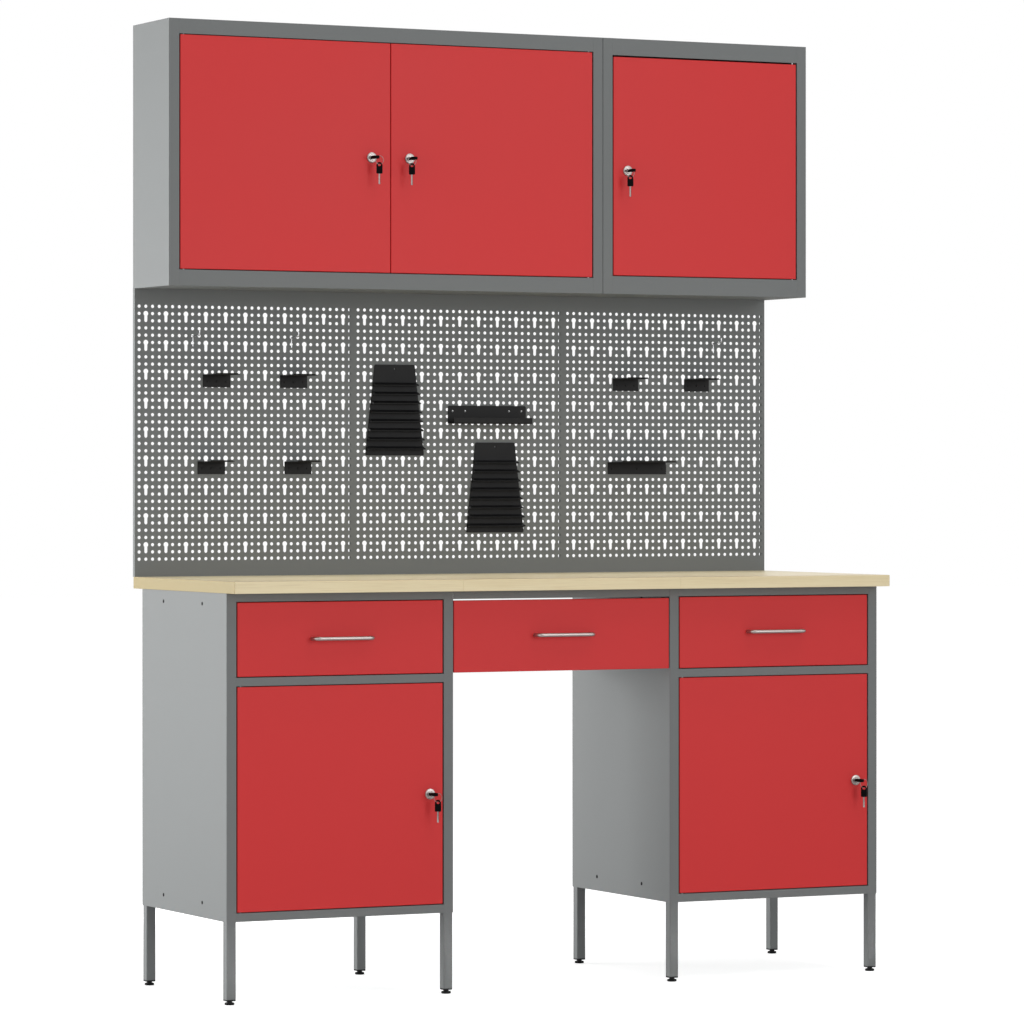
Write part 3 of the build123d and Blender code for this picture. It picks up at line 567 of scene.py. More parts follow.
# %% Lamps
def soft_lamp(name, place, aim, width, height, watts, beam=180.0):
    lamp = bpy.data.lights.new(name, "AREA")
    lamp.shape = "RECTANGLE"
    lamp.size = width
    lamp.size_y = height
    lamp.energy = watts
    lamp.spread = radians(beam)
    holder = bpy.data.objects.new(name, lamp)
    holder.location = place
    holder.rotation_euler = (Vector(aim) - Vector(place)).to_track_quat("-Z", "Y").to_euler()
    bpy.context.collection.objects.link(holder)


soft_lamp("left_lamp", (-6.0, -0.3, 1.7), (-0.6, -0.3, 1.0), width=9.0, height=3.0, watts=130)
soft_lamp("rear_left_lamp", (-4.5, 3.6, 0.9), (0.0, 0.0, 0.6), width=2.5, height=2.5, watts=250)
soft_lamp("knee_lamp", (-0.45, 1.9, 0.45), (0.25, 0.0, 0.45), width=0.5, height=0.8, watts=4.5)
soft_lamp("top_lamp", (0.6, -2.2, 5.0), (0.0, 0.0, 0.9), width=2.6, height=2.6, watts=38)
soft_lamp("front_lamp", (2.6, -6.5, 2.0), (0.1, 0.0, 0.8), width=2.6, height=2.6, watts=88)
soft_lamp("worktop_lamp", (0.0, -0.6, 3.2), (0.0, -0.02, 0.84), width=1.5, height=0.3, watts=0.8,
          beam=14.0)
soft_lamp("leg_lamp", (0.0, -3.0, 0.07), (0.0, 0.0, 0.07), width=2.4, height=0.06, watts=0.3, beam=5.0)
print("lamps", len(bpy.data.lights))

# %% [markdown]
# The world is a soft grey for the object, and white for what the camera and the shiny metal
# see. The floor is white paper that keeps the shadow. It glows a little for the camera alone,
# so that it joins the background.

# %% World and floor
WHITE = (1, 1, 1, 1)
PAPER = (0.92, 0.92, 0.92, 1)
SOFT_LIGHT = 0.4
FLOOR_GLOW = 0.64
FLOOR_SIZE = 60


def set_inputs(node, **values):
    """Sets a shader node's constant inputs."""
    for name, value in values.items():
        node.inputs[name].default_value = value
    return node


def by_rays(tree, output, lit, seen, *kinds):
    """Rays of these kinds meet the second shader, and all others the first one."""
    rays = tree.nodes.new("ShaderNodeLightPath")
    factor = rays.outputs[kinds[0]]
    for kind in kinds[1:]:
        either = tree.nodes.new("ShaderNodeMath")
        either.operation = "MAXIMUM"
        tree.links.new(factor, either.inputs[0])
        tree.links.new(rays.outputs[kind], either.inputs[1])
        factor = either.outputs[0]
    choice = tree.nodes.new("ShaderNodeMixShader")
    for number, socket in enumerate((factor, lit.outputs[0], seen.outputs[0])):
        tree.links.new(socket, choice.inputs[number])
    tree.links.new(choice.outputs[0], tree.nodes[output].inputs["Surface"])


world = bpy.data.worlds.new("studio")
world.use_nodes = True
bpy.context.scene.world = world
sky = world.node_tree
soft_light = set_inputs(sky.nodes["Background"], Color=WHITE, Strength=SOFT_LIGHT)
white = set_inputs(sky.nodes.new("ShaderNodeBackground"), Color=WHITE)
by_rays(sky, "World Output", soft_light, white, "Is Camera Ray", "Is Glossy Ray", "Is Transmission Ray")

floor = begin(bpy.ops.mesh.primitive_plane_add, "studio_floor", size=FLOOR_SIZE, location=(0, 0, 0))
floor_finish = bpy.data.materials.new("studio_floor")
floor_finish.use_nodes = True
paper = floor_finish.node_tree
matt = set_inputs(paper.nodes.new("ShaderNodeBsdfDiffuse"), Color=PAPER)
glow = set_inputs(paper.nodes.new("ShaderNodeEmission"), Strength=FLOOR_GLOW)
lifted = paper.nodes.new("ShaderNodeAddShader")
paper.links.new(matt.outputs[0], lifted.inputs[0])
paper.links.new(glow.outputs[0], lifted.inputs[1])
by_rays(paper, "Material Output", matt, lifted, "Is Camera Ray")
floor.data.materials.append(floor_finish)
print("studio ready")

# %% [markdown]
# ## Worktop
# Three boards lie side by side, so two fine joints show on the front edge. Each board starts as
# a box. Its front upper edge has the wider bevel that a hand rests on, and all the other edges
# are broken lightly.

# %% Worktop boards
top_low, top_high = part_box("worktop")
JOINT = 0.25
FRONT_BEVEL, BROKEN_EDGE = mm(2.0, 0.5)
boards = []
for left, right in ((top_low.x, -JOINT), (-JOINT, JOINT), (JOINT, top_high.x)):
    board = block("board", (left, top_low.y, top_low.z), (right, top_high.y, top_high.z))
    round_edges(board, lambda middle, way: runs(way, "x") and middle.y < top_low.y + MM
                and middle.z > top_high.z - MM, FRONT_BEVEL, 3)
    boards.append(soften(board, BROKEN_EDGE, angle=50))
on_frame("worktop_boards", boards, BOARD, "worktop_board", "worktop")

# %% [markdown]
# ## Drawer fronts and doors
# A front is one sheet with its four edges folded back. A box with its rear face deleted has the
# same outer skin. Bevelled edges give the radius of the fold, and Solidify adds the sheet's
# thickness on the inside.


# %% Folded fronts
FOLD_RADIUS, SHEET = mm(1.6, 1.0)


def folded_front(name, low, high):
    piece = block(name, low, high)
    choose(piece, "FACE", lambda middle, way: way.y > MOSTLY)
    bpy.ops.mesh.delete(type="FACE")
    round_edges(piece, lambda middle, way: middle.y < high.y - MM, FOLD_RADIUS, 3)
    return shape(piece, "SOLIDIFY", thickness=SHEET, offset=-1)


BAYS = {"left": -0.5, "centre": 0.0, "right": 0.5}
for bay in BAYS:
    node = f"{bay}_drawer_front"
    front = soften(folded_front(f"{node}_skin", *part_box(node)), 0)
    dress(paint(front, RED_COAT), f"{bay}_drawer", "red_paint", node)
print("drawer fronts", len(BAYS))

# %% [markdown]
# A door is the same folded sheet with a round hole for its lock. The lock's place is read from the joint
# that turns it, so the hole and the lock always agree. The free edge is on the right (1) or the left (-1).

# %% Doors
JOINTS = {joint["name"]: joint for joint in frame["joints"]}
DOORS = {"left_cupboard": 1, "right_cupboard": 1, "wide_left": 1, "wide_right": -1, "narrow": -1}
BARREL, BARREL_ROOM = mm(8.0, 0.1)
LOCK_AT = {}


def drill(radius, place, sides, turn=90, depth=20.0 * MM):
    """A cutter for a round hole, along Y or turned about X to another way."""
    return begin(bpy.ops.mesh.primitive_cylinder_add, "drill", vertices=sides, radius=radius,
                 depth=depth, location=place, rotation=(radians(turn), 0, 0))


for door in DOORS:
    LOCK_AT[door] = Vector(JOINTS[f"{door}_lock_turn"]["pos_m"])
    skin = folded_front(f"{door}_door_skin", *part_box(f"{door}_door"))
    cut(skin, drill(BARREL + BARREL_ROOM, LOCK_AT[door], 24, depth=10.0 * MM))
    paint(soften(skin, 0), RED_COAT)
    dress(skin, f"{door}_leaf", "red_paint", f"{door}_door")
print("doors", len(DOORS))

# %% [markdown]
# ## Bar handles
# A handle is one bent bar. A disc is extruded out from the drawer, spun a quarter turn, extruded
# along, spun again and extruded back, which is how the bar is bent at the factory. It is modelled
# once, and each drawer gets a copy.

# %% Handles
BAR, SPACING, REACH, BEND = mm(4.0, 128.0, 21.0, 10.0)


def bend(turn, centre, axis, steps):
    """Spins what is selected about a centre, by an angle in degrees."""
    bpy.ops.mesh.spin(steps=steps, angle=radians(turn), center=centre, axis=axis)


handle = disc("bar_handle", BAR, 20, (-SPACING / 2, 0, 0), turn=90)
extrude(0, BEND - REACH, 0)
bend(-90, (BEND - SPACING / 2, BEND - REACH, 0), (0, 0, 1), 8)
extrude(SPACING - 2 * BEND, 0, 0)
bend(-90, (SPACING / 2 - BEND, BEND - REACH, 0), (0, 0, 1), 8)
extrude(0, REACH - BEND, 0)
smooth(outward(handle))
for bay in BAYS:
    low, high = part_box(f"{bay}_drawer_handle")
    bar = twin(handle, f"{bay}_drawer_bar", at((low.x + high.x) / 2, high.y, (low.z + high.z) / 2))
    dress(paint(bar, SATIN), f"{bay}_drawer", "chrome", f"{bay}_drawer_handle")
    report(bar)
throw_away(handle)

# %% [markdown]
# ## Perforated tool wall
# The wall repeats one tile of 45 by 60 mm: ten round holes and one keyhole for hanging holders. Cutting a
# thousand holes one by one would be slow, so the tile is cut once and two Array modifiers repeat it. The
# plain margins, the folded edges and the return lips are extruded from the outer border.

# %% One perforated tile
PITCH, HOLE, HEAD, SLOT, SLOT_DROP = mm(15.0, 3.6, 5.5, 3.4, 18.0)
TILE = (3 * PITCH, 4 * PITCH)
TILE_DEPTH = 4.0 * MM
HOLE_SIDES = 10
HEAD_SIDES = 14
HEAD_AT = PITCH / 2
SLOT_END = HEAD_AT - SLOT_DROP + SLOT

tile_corner = Vector((TILE[0], TILE_DEPTH, TILE[1])) / 2
tile = block("perforated_tile", -tile_corner, tile_corner)
for column in (-1, 0, 1):
    for row in (-1.5, -0.5, 0.5, 1.5):
        if column or abs(row) > 1:
            cut(tile, drill(HOLE, (column * PITCH, 0, row * PITCH), HOLE_SIDES))
cut(tile, drill(HEAD, (0, 0, HEAD_AT), HEAD_SIDES))
cut(tile, block("slot", (-SLOT, -2 * TILE_DEPTH, SLOT_END), (SLOT, 2 * TILE_DEPTH, HEAD_AT)))
cut(tile, drill(SLOT, (0, 0, SLOT_END), HOLE_SIDES))
choose(tile, "FACE", lambda middle, way: way.y > -MOSTLY)
bpy.ops.mesh.delete(type="FACE")
put_down()
report(tile)

# %% The whole sheet
COLUMNS, ROWS = 11, 9
panel_low, panel_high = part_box("centre_tool_panel")
panel_width = panel_high.x - panel_low.x
panel_height = panel_high.z - panel_low.z
side_margin = (panel_width - COLUMNS * TILE[0]) / 2
end_margin = (panel_height - ROWS * TILE[1]) / 2
FLANGE = panel_high.y - panel_low.y
RETURN_LIP, RELIEF = mm(6.0, 5.0)
first_tile = at(-(COLUMNS - 1) / 2 * TILE[0], TILE_DEPTH / 2, -(ROWS - 1) / 2 * TILE[1])
sheet = twin(tile, "perforated_sheet", first_tile)
for count, step in ((COLUMNS, (TILE[0], 0, 0)), (ROWS, (0, 0, TILE[1]))):
    shape(sheet, "ARRAY", count=count, use_relative_offset=False, use_constant_offset=True,
          constant_offset_displace=step, use_merge_vertices=True, merge_threshold=0.1 * MM)
half_x, half_z = COLUMNS * TILE[0] / 2, ROWS * TILE[1] / 2


def pull(test, *moves):
    """Extrudes the chosen edges of the sheet by one move after the other."""
    choose(sheet, "EDGE", test)
    for move in moves:
        extrude(*move)
    put_down()


for side in (-1, 1):
    pull(lambda middle, way: side * middle.x > half_x - TOUCH and runs(way, "z"),
         (side * side_margin, 0, 0))
for side in (-1, 1):
    pull(lambda middle, way: side * middle.z > half_z - TOUCH and runs(way, "x"),
         (0, 0, side * end_margin))
report(sheet)

# %% Folded edges
outer_x, outer_z = panel_width / 2, panel_height / 2
for side in (-1, 1):
    pull(lambda middle, way: side * middle.z > outer_z - TOUCH and runs(way, "x"), (0, FLANGE, 0))
for side in (-1, 1):
    pull(lambda middle, way: side * middle.x > outer_x - TOUCH and runs(way, "z")
         and middle.y < TOUCH and abs(middle.z) < outer_z - RELIEF,
         (0, FLANGE, 0), (-side * RETURN_LIP, 0, 0))
shape(sheet, "SOLIDIFY", thickness=SHEET, offset=-1)
smooth(sheet, 30)
for bay, x in BAYS.items():
    node = f"{bay}_tool_panel"
    panel = twin(sheet, f"{node}_sheet", at(x, panel_low.y, (panel_low.z + panel_high.z) / 2))
    dress(paint(panel, GREY_COAT), "frame", "grey_paint", node)
throw_away(sheet, tile)
print("tool panels", len(BAYS))

# %% [markdown]
# ## Cam locks
# Each door has a small cam lock: a bright rosette on the outside, a threaded barrel through the
# sheet, a nut behind it, and a plug inside that turns with the key and carries the cam. The
# body stays with the door and the plug turns, so they are two pieces. They are turned once
# about Z, where +Z points to the user.

# %% The lock's body
ROSETTE, PLUG = mm(11.0, 6.0)
NUT_HALF, NUT_DEPTH = mm(11.0, 4.0)
BODY_PROFILE = [(PLUG, 2.2 * MM), (PLUG + 0.4 * MM, 2.5 * MM), (ROSETTE - 1.0 * MM, 2.5 * MM),
                (ROSETTE - 0.3 * MM, 2.1 * MM), (ROSETTE, 1.3 * MM), (ROSETTE, 0.0), (BARREL, 0.0),
                (BARREL, -20.0 * MM), (PLUG, -20.0 * MM)]
lock_body = smooth(turned("lock_body", BODY_PROFILE, 32, bore=True), 35)
nut_corner = NUT_HALF / cos(pi / 6)
nut = turned("lock_nut", [(nut_corner, -SHEET), (nut_corner, -SHEET - NUT_DEPTH)], 6)
cut(nut, turned("nut_bore", [(BARREL, 0.0), (BARREL, -10.0 * MM)], 32))
soften(nut, 0.4 * MM)
lock_case = joined("lock_case", [lock_body, nut])
report(lock_case)

# %% [markdown]
# The plug has a keyway cut into its face. The cam is a plate with rounded ends, screwed to the plug's
# rear end. It points up while the door is unlocked and turns a quarter turn behind the frame.

# %% The plug and its cam
CAM_FRONT = -22.0 * MM
CAM_BACK = CAM_FRONT - 2.0 * MM
CAM_HALF, CAM_TIP, CAM_CORNER = mm(7.0, 40.0, 5.0)
KEYWAY_X, KEYWAY_Y, KEYWAY_END = mm(3.1, 1.1, -18.5)
PLUG_SKIN = PLUG - 0.05 * MM
PLUG_PROFILE = [(PLUG_SKIN, CAM_FRONT), (PLUG_SKIN, 3.2 * MM), (PLUG - 0.4 * MM, 3.5 * MM)]
SCREW_PROFILE = [(3.6 * MM, CAM_BACK), (3.6 * MM, CAM_BACK - 1.2 * MM), (3.0 * MM, CAM_BACK - 1.8 * MM)]
plug = turned("lock_plug", PLUG_PROFILE, 32)
cut(plug, block("keyway", (-KEYWAY_X, -KEYWAY_Y, KEYWAY_END), (KEYWAY_X, KEYWAY_Y, 10.0 * MM)))
smooth(plug, 35)
cam = block("lock_cam", (-CAM_HALF, -CAM_HALF, CAM_BACK), (CAM_HALF, CAM_TIP, CAM_FRONT))
round_edges(cam, along("z"), CAM_CORNER, 5)
soften(cam, 0.3 * MM)
cam_screw = smooth(turned("cam_screw", SCREW_PROFILE, 16), 35)
lock_core = joined("lock_core", [plug, cam, cam_screw])
report(lock_core)

# %% [markdown]
# ## Keys and rings
# A flat key has a black plastic head with a slot for the ring, and a steel blade with milled grooves
# and cut teeth. It is modelled hanging, with the slot at the origin, and copied into the lock and
# onto the ring. The one in the lock has the thicker head of a main key. The ring is a split ring:
# two turns of wire side by side.

# %% Two keys
HEAD_HALF, HEAD_TOP, HEAD_END = mm(6.3, 6.0, -18.0)
HEAD_TAPER = 0.84
RING_SLOT_X, RING_SLOT_Z = mm(3.6, 2.4)
BLADE_HALF, BLADE_THICK, BLADE_TOP, BLADE_TIP = mm(1.8, 0.9, -17.0, -40.0)
FIRST_TOOTH, LAST_TOOTH = mm(-19.0, -36.0)
TOOTH_STEP, TOOTH_DEPTH = mm(2.14, 0.6)
NEAR = 0.1 * MM


def key_head(thickness):
    """The plastic head: an arch at the top, narrower than its foot, with a slot for the ring."""
    head = block("key_head", (-HEAD_HALF, -thickness / 2, HEAD_END), (HEAD_HALF, thickness / 2, HEAD_TOP))
    round_edges(head, lambda middle, way: runs(way, "y") and middle.z > 0, 5.6 * MM, 6)
    choose(head, "VERT", lambda spot, way: spot.z > MM)
    bpy.ops.transform.resize(value=(HEAD_TAPER, 1, 1), center_override=(0, 0, 0))
    round_edges(head, lambda middle, way: runs(way, "y") and middle.z < HEAD_END + NEAR, 2.0 * MM, 4)
    opening = block("ring_slot", (-RING_SLOT_X, -10.0 * MM, -RING_SLOT_Z),
                    (RING_SLOT_X, 10.0 * MM, RING_SLOT_Z))
    round_edges(opening, along("y"), 2.2 * MM, 4)
    cut(head, opening)
    soften(head, 0.8 * MM, segments=3, angle=50)
    return paint(head, KEY_PLASTIC)


def key_blade():
    """The steel blade: a rounded tip, a groove on both sides, and teeth along one edge."""
    blade = block("key_blade", (-BLADE_HALF, -BLADE_THICK, BLADE_TIP),
                  (BLADE_HALF, BLADE_THICK, BLADE_TOP))
    round_edges(blade, lambda middle, way: runs(way, "y") and middle.z < BLADE_TIP + NEAR, 1.2 * MM, 2)
    choose(blade, "FACE", along("y"))
    bpy.ops.mesh.inset(thickness=0.9 * MM, depth=-0.3 * MM, use_individual=True)
    choose(blade, "EDGE", lambda middle, way: runs(way, "z") and middle.x > BLADE_HALF - NEAR)
    bpy.ops.mesh.subdivide(number_cuts=9)
    choose(blade, "VERT", lambda spot, way: spot.x > BLADE_HALF - NEAR
           and LAST_TOOTH < spot.z < FIRST_TOOTH and round((spot.z - BLADE_TOP) / TOOTH_STEP) % 2 == 0)
    bpy.ops.transform.translate(value=(-TOOTH_DEPTH, 0, 0))
    put_down()
    return paint(smooth(blade, 30), KEY_STEEL)


key = joined("door_key", [key_head(4.4 * MM), key_blade()])
thick_key = joined("thick_key", [key_head(6.0 * MM), key_blade()])
report(key)

# %% One split ring
RING, WIRE, COIL_SHIFT = mm(9.0, 0.44, 0.36)
coils = []
for shift in (-COIL_SHIFT, COIL_SHIFT):
    coil = disc("coil", WIRE, 8, (RING, shift, 0), fill="NOTHING")
    bend(360, (0, shift, 0), (0, 1, 0), 40)
    coils.append(outward(coil))
ring = paint(smooth(joined("split_ring", coils), 60), KEY_STEEL)
report(ring)

# %% [markdown]
# Every lock now gets its copies. The ring hangs from the key in the lock and the spare key
# hangs from the ring, a little to the side where the door opens. Hinge pins stand on the upper
# and the lower edge of a door.

# %% Locks, keys and pins on their doors
RING_SIDE, RING_OUT, SPARE_DROP = mm(6.36, 24.5, 10.15)
PIN, PIN_TIP = mm(2.0, 0.4)
SPARE_TURN = Matrix.Rotation(radians(-45), 4, "Z")


def hinge_pin(place, start, end):
    """An upright pin with its two rims broken."""
    thin = PIN - PIN_TIP
    profile = [(thin, start), (PIN, start + PIN_TIP), (PIN, end - PIN_TIP), (thin, end)]
    pin, = spread(smooth(turned("hinge_pin", profile, 16), 35), [at(place.x, place.y, 0)])
    return paint(pin, ZINC)


for door in DOORS:
    low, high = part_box(f"{door}_door")
    pin_low, pin_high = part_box(f"{door}_door_hardware")
    hinge = Vector(JOINTS[f"{door}_hinge"]["pos_m"])
    axis = at(LOCK_AT[door].x, low.y, LOCK_AT[door].z)
    ring_at = axis @ at(DOORS[door] * RING_SIDE, -RING_OUT, -RING_SIDE)
    case = paint(twin(lock_case, "case", axis @ TO_FRONT), SATIN)
    pins = [hinge_pin(hinge, pin_low.z, low.z), hinge_pin(hinge, high.z, pin_high.z)]
    case = joined(f"{door}_lock_case", [case] + pins)
    hanging = twin(ring, f"{door}_key_ring", ring_at)
    core = paint(twin(lock_core, f"{door}_lock_core", axis @ TO_FRONT), SATIN)
    turning = twin(thick_key, f"{door}_turning_key", axis @ at(0, -RING_OUT, 0) @ TO_FRONT)
    spare = twin(key, f"{door}_hanging_key", ring_at @ at(0, 0, -SPARE_DROP) @ SPARE_TURN)
    dress(case, f"{door}_leaf", "chrome", f"{door}_door_hardware")
    dress(hanging, f"{door}_leaf", "chrome")
    dress(core, f"{door}_lock", "chrome", f"{door}_door_cam")
    dress(turning, f"{door}_lock", "black_plastic", f"{door}_door_key")
    dress(spare, f"{door}_leaf", "black_plastic", f"{door}_door_spare_key")
throw_away(lock_case, lock_core, key, thick_key, ring)
print("locks", len(DOORS))

# %% [markdown]
# ## Legs and feet
# The legs are square tubes with rounded corners. A black plug closes the lower end of each, and
# a levelling foot with a rounded rim is screwed into the plug. One leg, one plug and one foot
# are made and copied.

# %% Tube legs, plugs and feet
TUBE, TUBE_ROUND, TUBE_WALL = mm(20.0, 2.0, 1.4)
FLANGE_HEIGHT = 3.0 * MM
legs_low, legs_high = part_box("pedestal_legs")
PEDESTALS = (BAYS["left"], BAYS["right"])
half = TUBE / 2
leg_reach = BAYS["left"] - (legs_low.x + half)
LEG_MOVES = [at(middle + side * leg_reach, y, 0) for middle in PEDESTALS for side in (-1, 1)
             for y in (legs_low.y + half, legs_high.y - half)]
leg = block("tube_leg", (-half, -half, legs_low.z), (half, half, legs_high.z))
round_edges(leg, along("z"), TUBE_ROUND, 4)
soften(leg, 0)

plug_low, plug_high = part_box("foot_inserts")
end_plug = block("end_plug", (-half, -half, plug_low.z), (half, half, plug_low.z + FLANGE_HEIGHT))
round_edges(end_plug, along("z"), TUBE_ROUND, 4)
choose(end_plug, "FACE", lambda middle, way: way.z > MOSTLY)
bpy.ops.mesh.inset(thickness=TUBE_WALL)
extrude(0, 0, plug_high.z - plug_low.z - FLANGE_HEIGHT)
put_down()
soften(end_plug, 0.5 * MM, angle=50)

FOOT_PROFILE = [mm(8.4, 0.0), mm(9.6, 0.5), mm(10.0, 1.5), mm(10.0, 3.4),
                mm(9.5, 4.4), mm(8.0, 5.0), mm(5.6, 5.4), mm(5.2, 8.0)]
foot = smooth(turned("levelling_foot", FOOT_PROFILE, 28), 50)
on_frame("tube_legs", spread(leg, LEG_MOVES), GREY_COAT, "grey_paint", "pedestal_legs")
on_frame("end_plugs", spread(end_plug, LEG_MOVES), PLASTIC, "black_plastic", "foot_inserts")
on_frame("feet", spread(foot, LEG_MOVES), PLASTIC, "black_plastic", "levelling_feet")

# %% [markdown]
# ## Sheet metal of the pedestals and cabinets
# The CAD sheets have the right folds but knife-sharp edges, and paint never shows a knife edge: it
# catches a thin line of light. A copy of each sheet is merged into one skin, its flat faces are dissolved
# to whole faces, and every edge is rounded by a fraction of a millimetre. The cabinets' sheets are drawn
# in by a hair at their ends, so that the joints show as fine dark lines.


# %% Sheets with painted edges
FOLD_AT_FRONT, EDGE_ROUND = mm(1.3, 0.3)
END_ZONE, SIDE_ROOM, TOP_ROOM = mm(2.0, 0.3, 0.8)
OUTER_FOLDS = (-0.75, -0.25, 0.25, 0.75)
SHEETS = {"pedestal_sides": 0, "pedestal_floors": 0, "frame_rails": 0,
          "wide_cabinet_sides": SIDE_ROOM, "wide_cabinet_top_and_bottom": TOP_ROOM,
          "narrow_cabinet_sides": SIDE_ROOM, "narrow_cabinet_top_and_bottom": TOP_ROOM}


def on_any(value, places):
    return any(abs(value - place) < 0.05 * MM for place in places)


def rounded_copy(node):
    """A copy of a CAD sheet with a wider radius on the folds of its front and fine rounds elsewhere."""
    piece = twin(frame["nodes"][node], f"{node}_rounded", Matrix.Identity(4))
    for mark in list(piece.keys()):
        del piece[mark]
    outward(piece)
    edit_all(piece)
    bpy.ops.mesh.dissolve_limited(angle_limit=radians(1))
    bpy.ops.mesh.vert_connect_concave()
    put_down()
    if node.endswith("_sides"):
        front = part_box(node)[0].y
        round_edges(piece, lambda middle, way: runs(way, "z") and on_any(middle.y, [front])
                    and on_any(middle.x, OUTER_FOLDS), FOLD_AT_FRONT, 3)
    soften(piece, EDGE_ROUND, angle=60)
    return paint(piece, GREY_COAT)


def open_seams(piece, node, room):
    """Draws a sheet in at its left and right end."""
    low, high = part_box(node)
    for end, inward in ((low.x, 1), (high.x, -1)):
        choose(piece, "VERT", lambda spot, way: abs(spot.x - end) < END_ZONE)
        bpy.ops.transform.translate(value=(inward * room, 0, 0))
        put_down()


for node, room in SHEETS.items():
    painted = rounded_copy(node)
    if room:
        open_seams(painted, node, room)
    dress(painted, "frame", "grey_paint", node)
    report(painted)

# %% [markdown]
# Holes in the pedestals' sides join one unit to the next. Where a side is free, small black
# plugs close them.

# %% Plugs in the joining holes
HOLE_Y, HOLE_Z = mm(-98.0, 104.0), mm(195.0, 795.0)
HOLE_PLUG_PROFILE = [mm(2.3, -0.8), mm(2.3, 0.0), mm(3.8, 0.0), mm(3.6, 0.3), mm(2.6, 0.7)]
hole_plug = smooth(turned("hole_plug", HOLE_PLUG_PROFILE, 16), 50)
plug_moves = []
for x, way in zip(OUTER_FOLDS, (-1, 1, -1, 1)):
    turn = Matrix.Rotation(radians(90 * way), 4, "Y")
    plug_moves += [at(x, y, z) @ turn for y in HOLE_Y for z in HOLE_Z]
on_frame("joining_hole_plugs", spread(hole_plug, plug_moves), KEY_PLASTIC, "black_plastic")

# %% [markdown]
# The stiles of a cabinet are open channels, so a small plate closes each of their ends. The plates lie
# flush with the top and the bottom sheet, with a hair of room around them.

# %% Plates on the ends of the stiles
STILE, STILE_LIP = mm(23.0, 20.0)
PLATE_GAP, PLATE_ROUND = mm(0.35, 0.2)
stile_plates = []
for cabinet in ("wide", "narrow"):
    low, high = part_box(f"{cabinet}_cabinet_sides")
    front, rear = low.y + SHEET + PLATE_GAP, low.y + STILE_LIP
    for edge, inward in ((low.x, 1), (high.x, -1)):
        near, far = edge + inward * (SHEET + PLATE_GAP), edge + inward * (STILE - SHEET - PLATE_GAP)
        left, right = sorted((near, far))
        for bottom in (low.z, high.z - SHEET):
            stile_end = block("stile_end", (left, front, bottom), (right, rear, bottom + SHEET))
            stile_plates.append(soften(stile_end, PLATE_ROUND, angle=60))
on_frame("cabinet_stile_ends", stile_plates, GREY_COAT, "grey_paint")

# %% [markdown]
# ## Holders on the tool wall
# Tool holders are bent from black sheet: a strip is folded at its bend line, its free corners are rounded
# and Solidify gives it thickness. Tools drop through the holes in the shelf, whose front edge turns up a
# little. Small screws fix the plate.


# %% Folded holders
HOLDER_SHEET, HOLDER_BEND, HOLDER_ROUND = mm(1.5, 2.0, 0.3)
PANEL_FACE = panel_low.y


def folded_strip(name, width, start, *folds):
    """A strip across X, folded from a line at the start point and pulled on by each (y, z) move."""
    piece = begin(bpy.ops.mesh.primitive_plane_add, name, size=1)
    choose(piece, "VERT", lambda spot, way: spot.y > 0)
    bpy.ops.mesh.delete(type="VERT")
    edit_all(piece)  # one edge is left, along X at y = -0.5
    bpy.ops.transform.resize(value=(width, 1, 1), center_override=(0, 0, 0))
    bpy.ops.transform.translate(value=(0, start[0] + 0.5, start[1]))
    for y, z in folds:
        extrude(0, y, z)
    put_down()
    return piece


def round_corners(piece, test, radius, segments):
    """Rounds the free corners that pass the test."""
    choose(piece, "VERT", test)
    bpy.ops.mesh.bevel(offset=radius, segments=segments, affect="VERTICES")
    put_down()


def finish_strip(piece, inner):
    """Turns the faces to the inner side and gives the sheet its thickness."""
    edit_all(piece)
    bpy.ops.mesh.normals_make_consistent(inside=False)
    put_down()
    face = min(piece.data.polygons, key=lambda f: (f.center - Vector(inner)).length)
    if face.normal.dot(Vector(inner) - face.center) < 0:
        edit_all(piece)
        bpy.ops.mesh.flip_normals()
        put_down()
    return shape(piece, "SOLIDIFY", thickness=HOLDER_SHEET, offset=1)


def on_panel(pattern, places):
    """Copies of a pattern on the face of the tool wall, at (x, z) places."""
    return spread(pattern, [at(x, PANEL_FACE, z) for x, z in places])


print("holder tools ready")

# %% Brackets with holes
BRACKET_HIGH, BRACKET_LIP = mm(27.0, 1.8)
SHELF = 58.0 * MM - HOLDER_SHEET
SHELF_CORNER = 6.0 * MM
SHELF_HOLE, SHELF_PITCH, SHELF_LINE = 8.0 * MM, 27.0 * MM, 0.58
SCREW_INSET, SCREW_DROP = mm(10.0, 15.0)
SCREW_DOME = [mm(2.4, 0.0), mm(2.2, 0.7), mm(1.3, 1.1)]
UPPER, LOWER = mm(1263.5, 1082.0)
SMALL_AT = [(-0.566, UPPER), (-0.390, UPPER), (-0.578, LOWER), (-0.380, LOWER), (0.402, UPPER),
            (0.578, UPPER)]
WIDE_AT = [(0.430, LOWER)]


def screw_heads(places):
    """Small domed screws on a plate whose front is at y = -HOLDER_SHEET."""
    dome = smooth(turned("screw", SCREW_DOME, 12), 60)
    return spread(dome, [at(x, -HOLDER_SHEET, z) @ TO_FRONT for x, z in places])


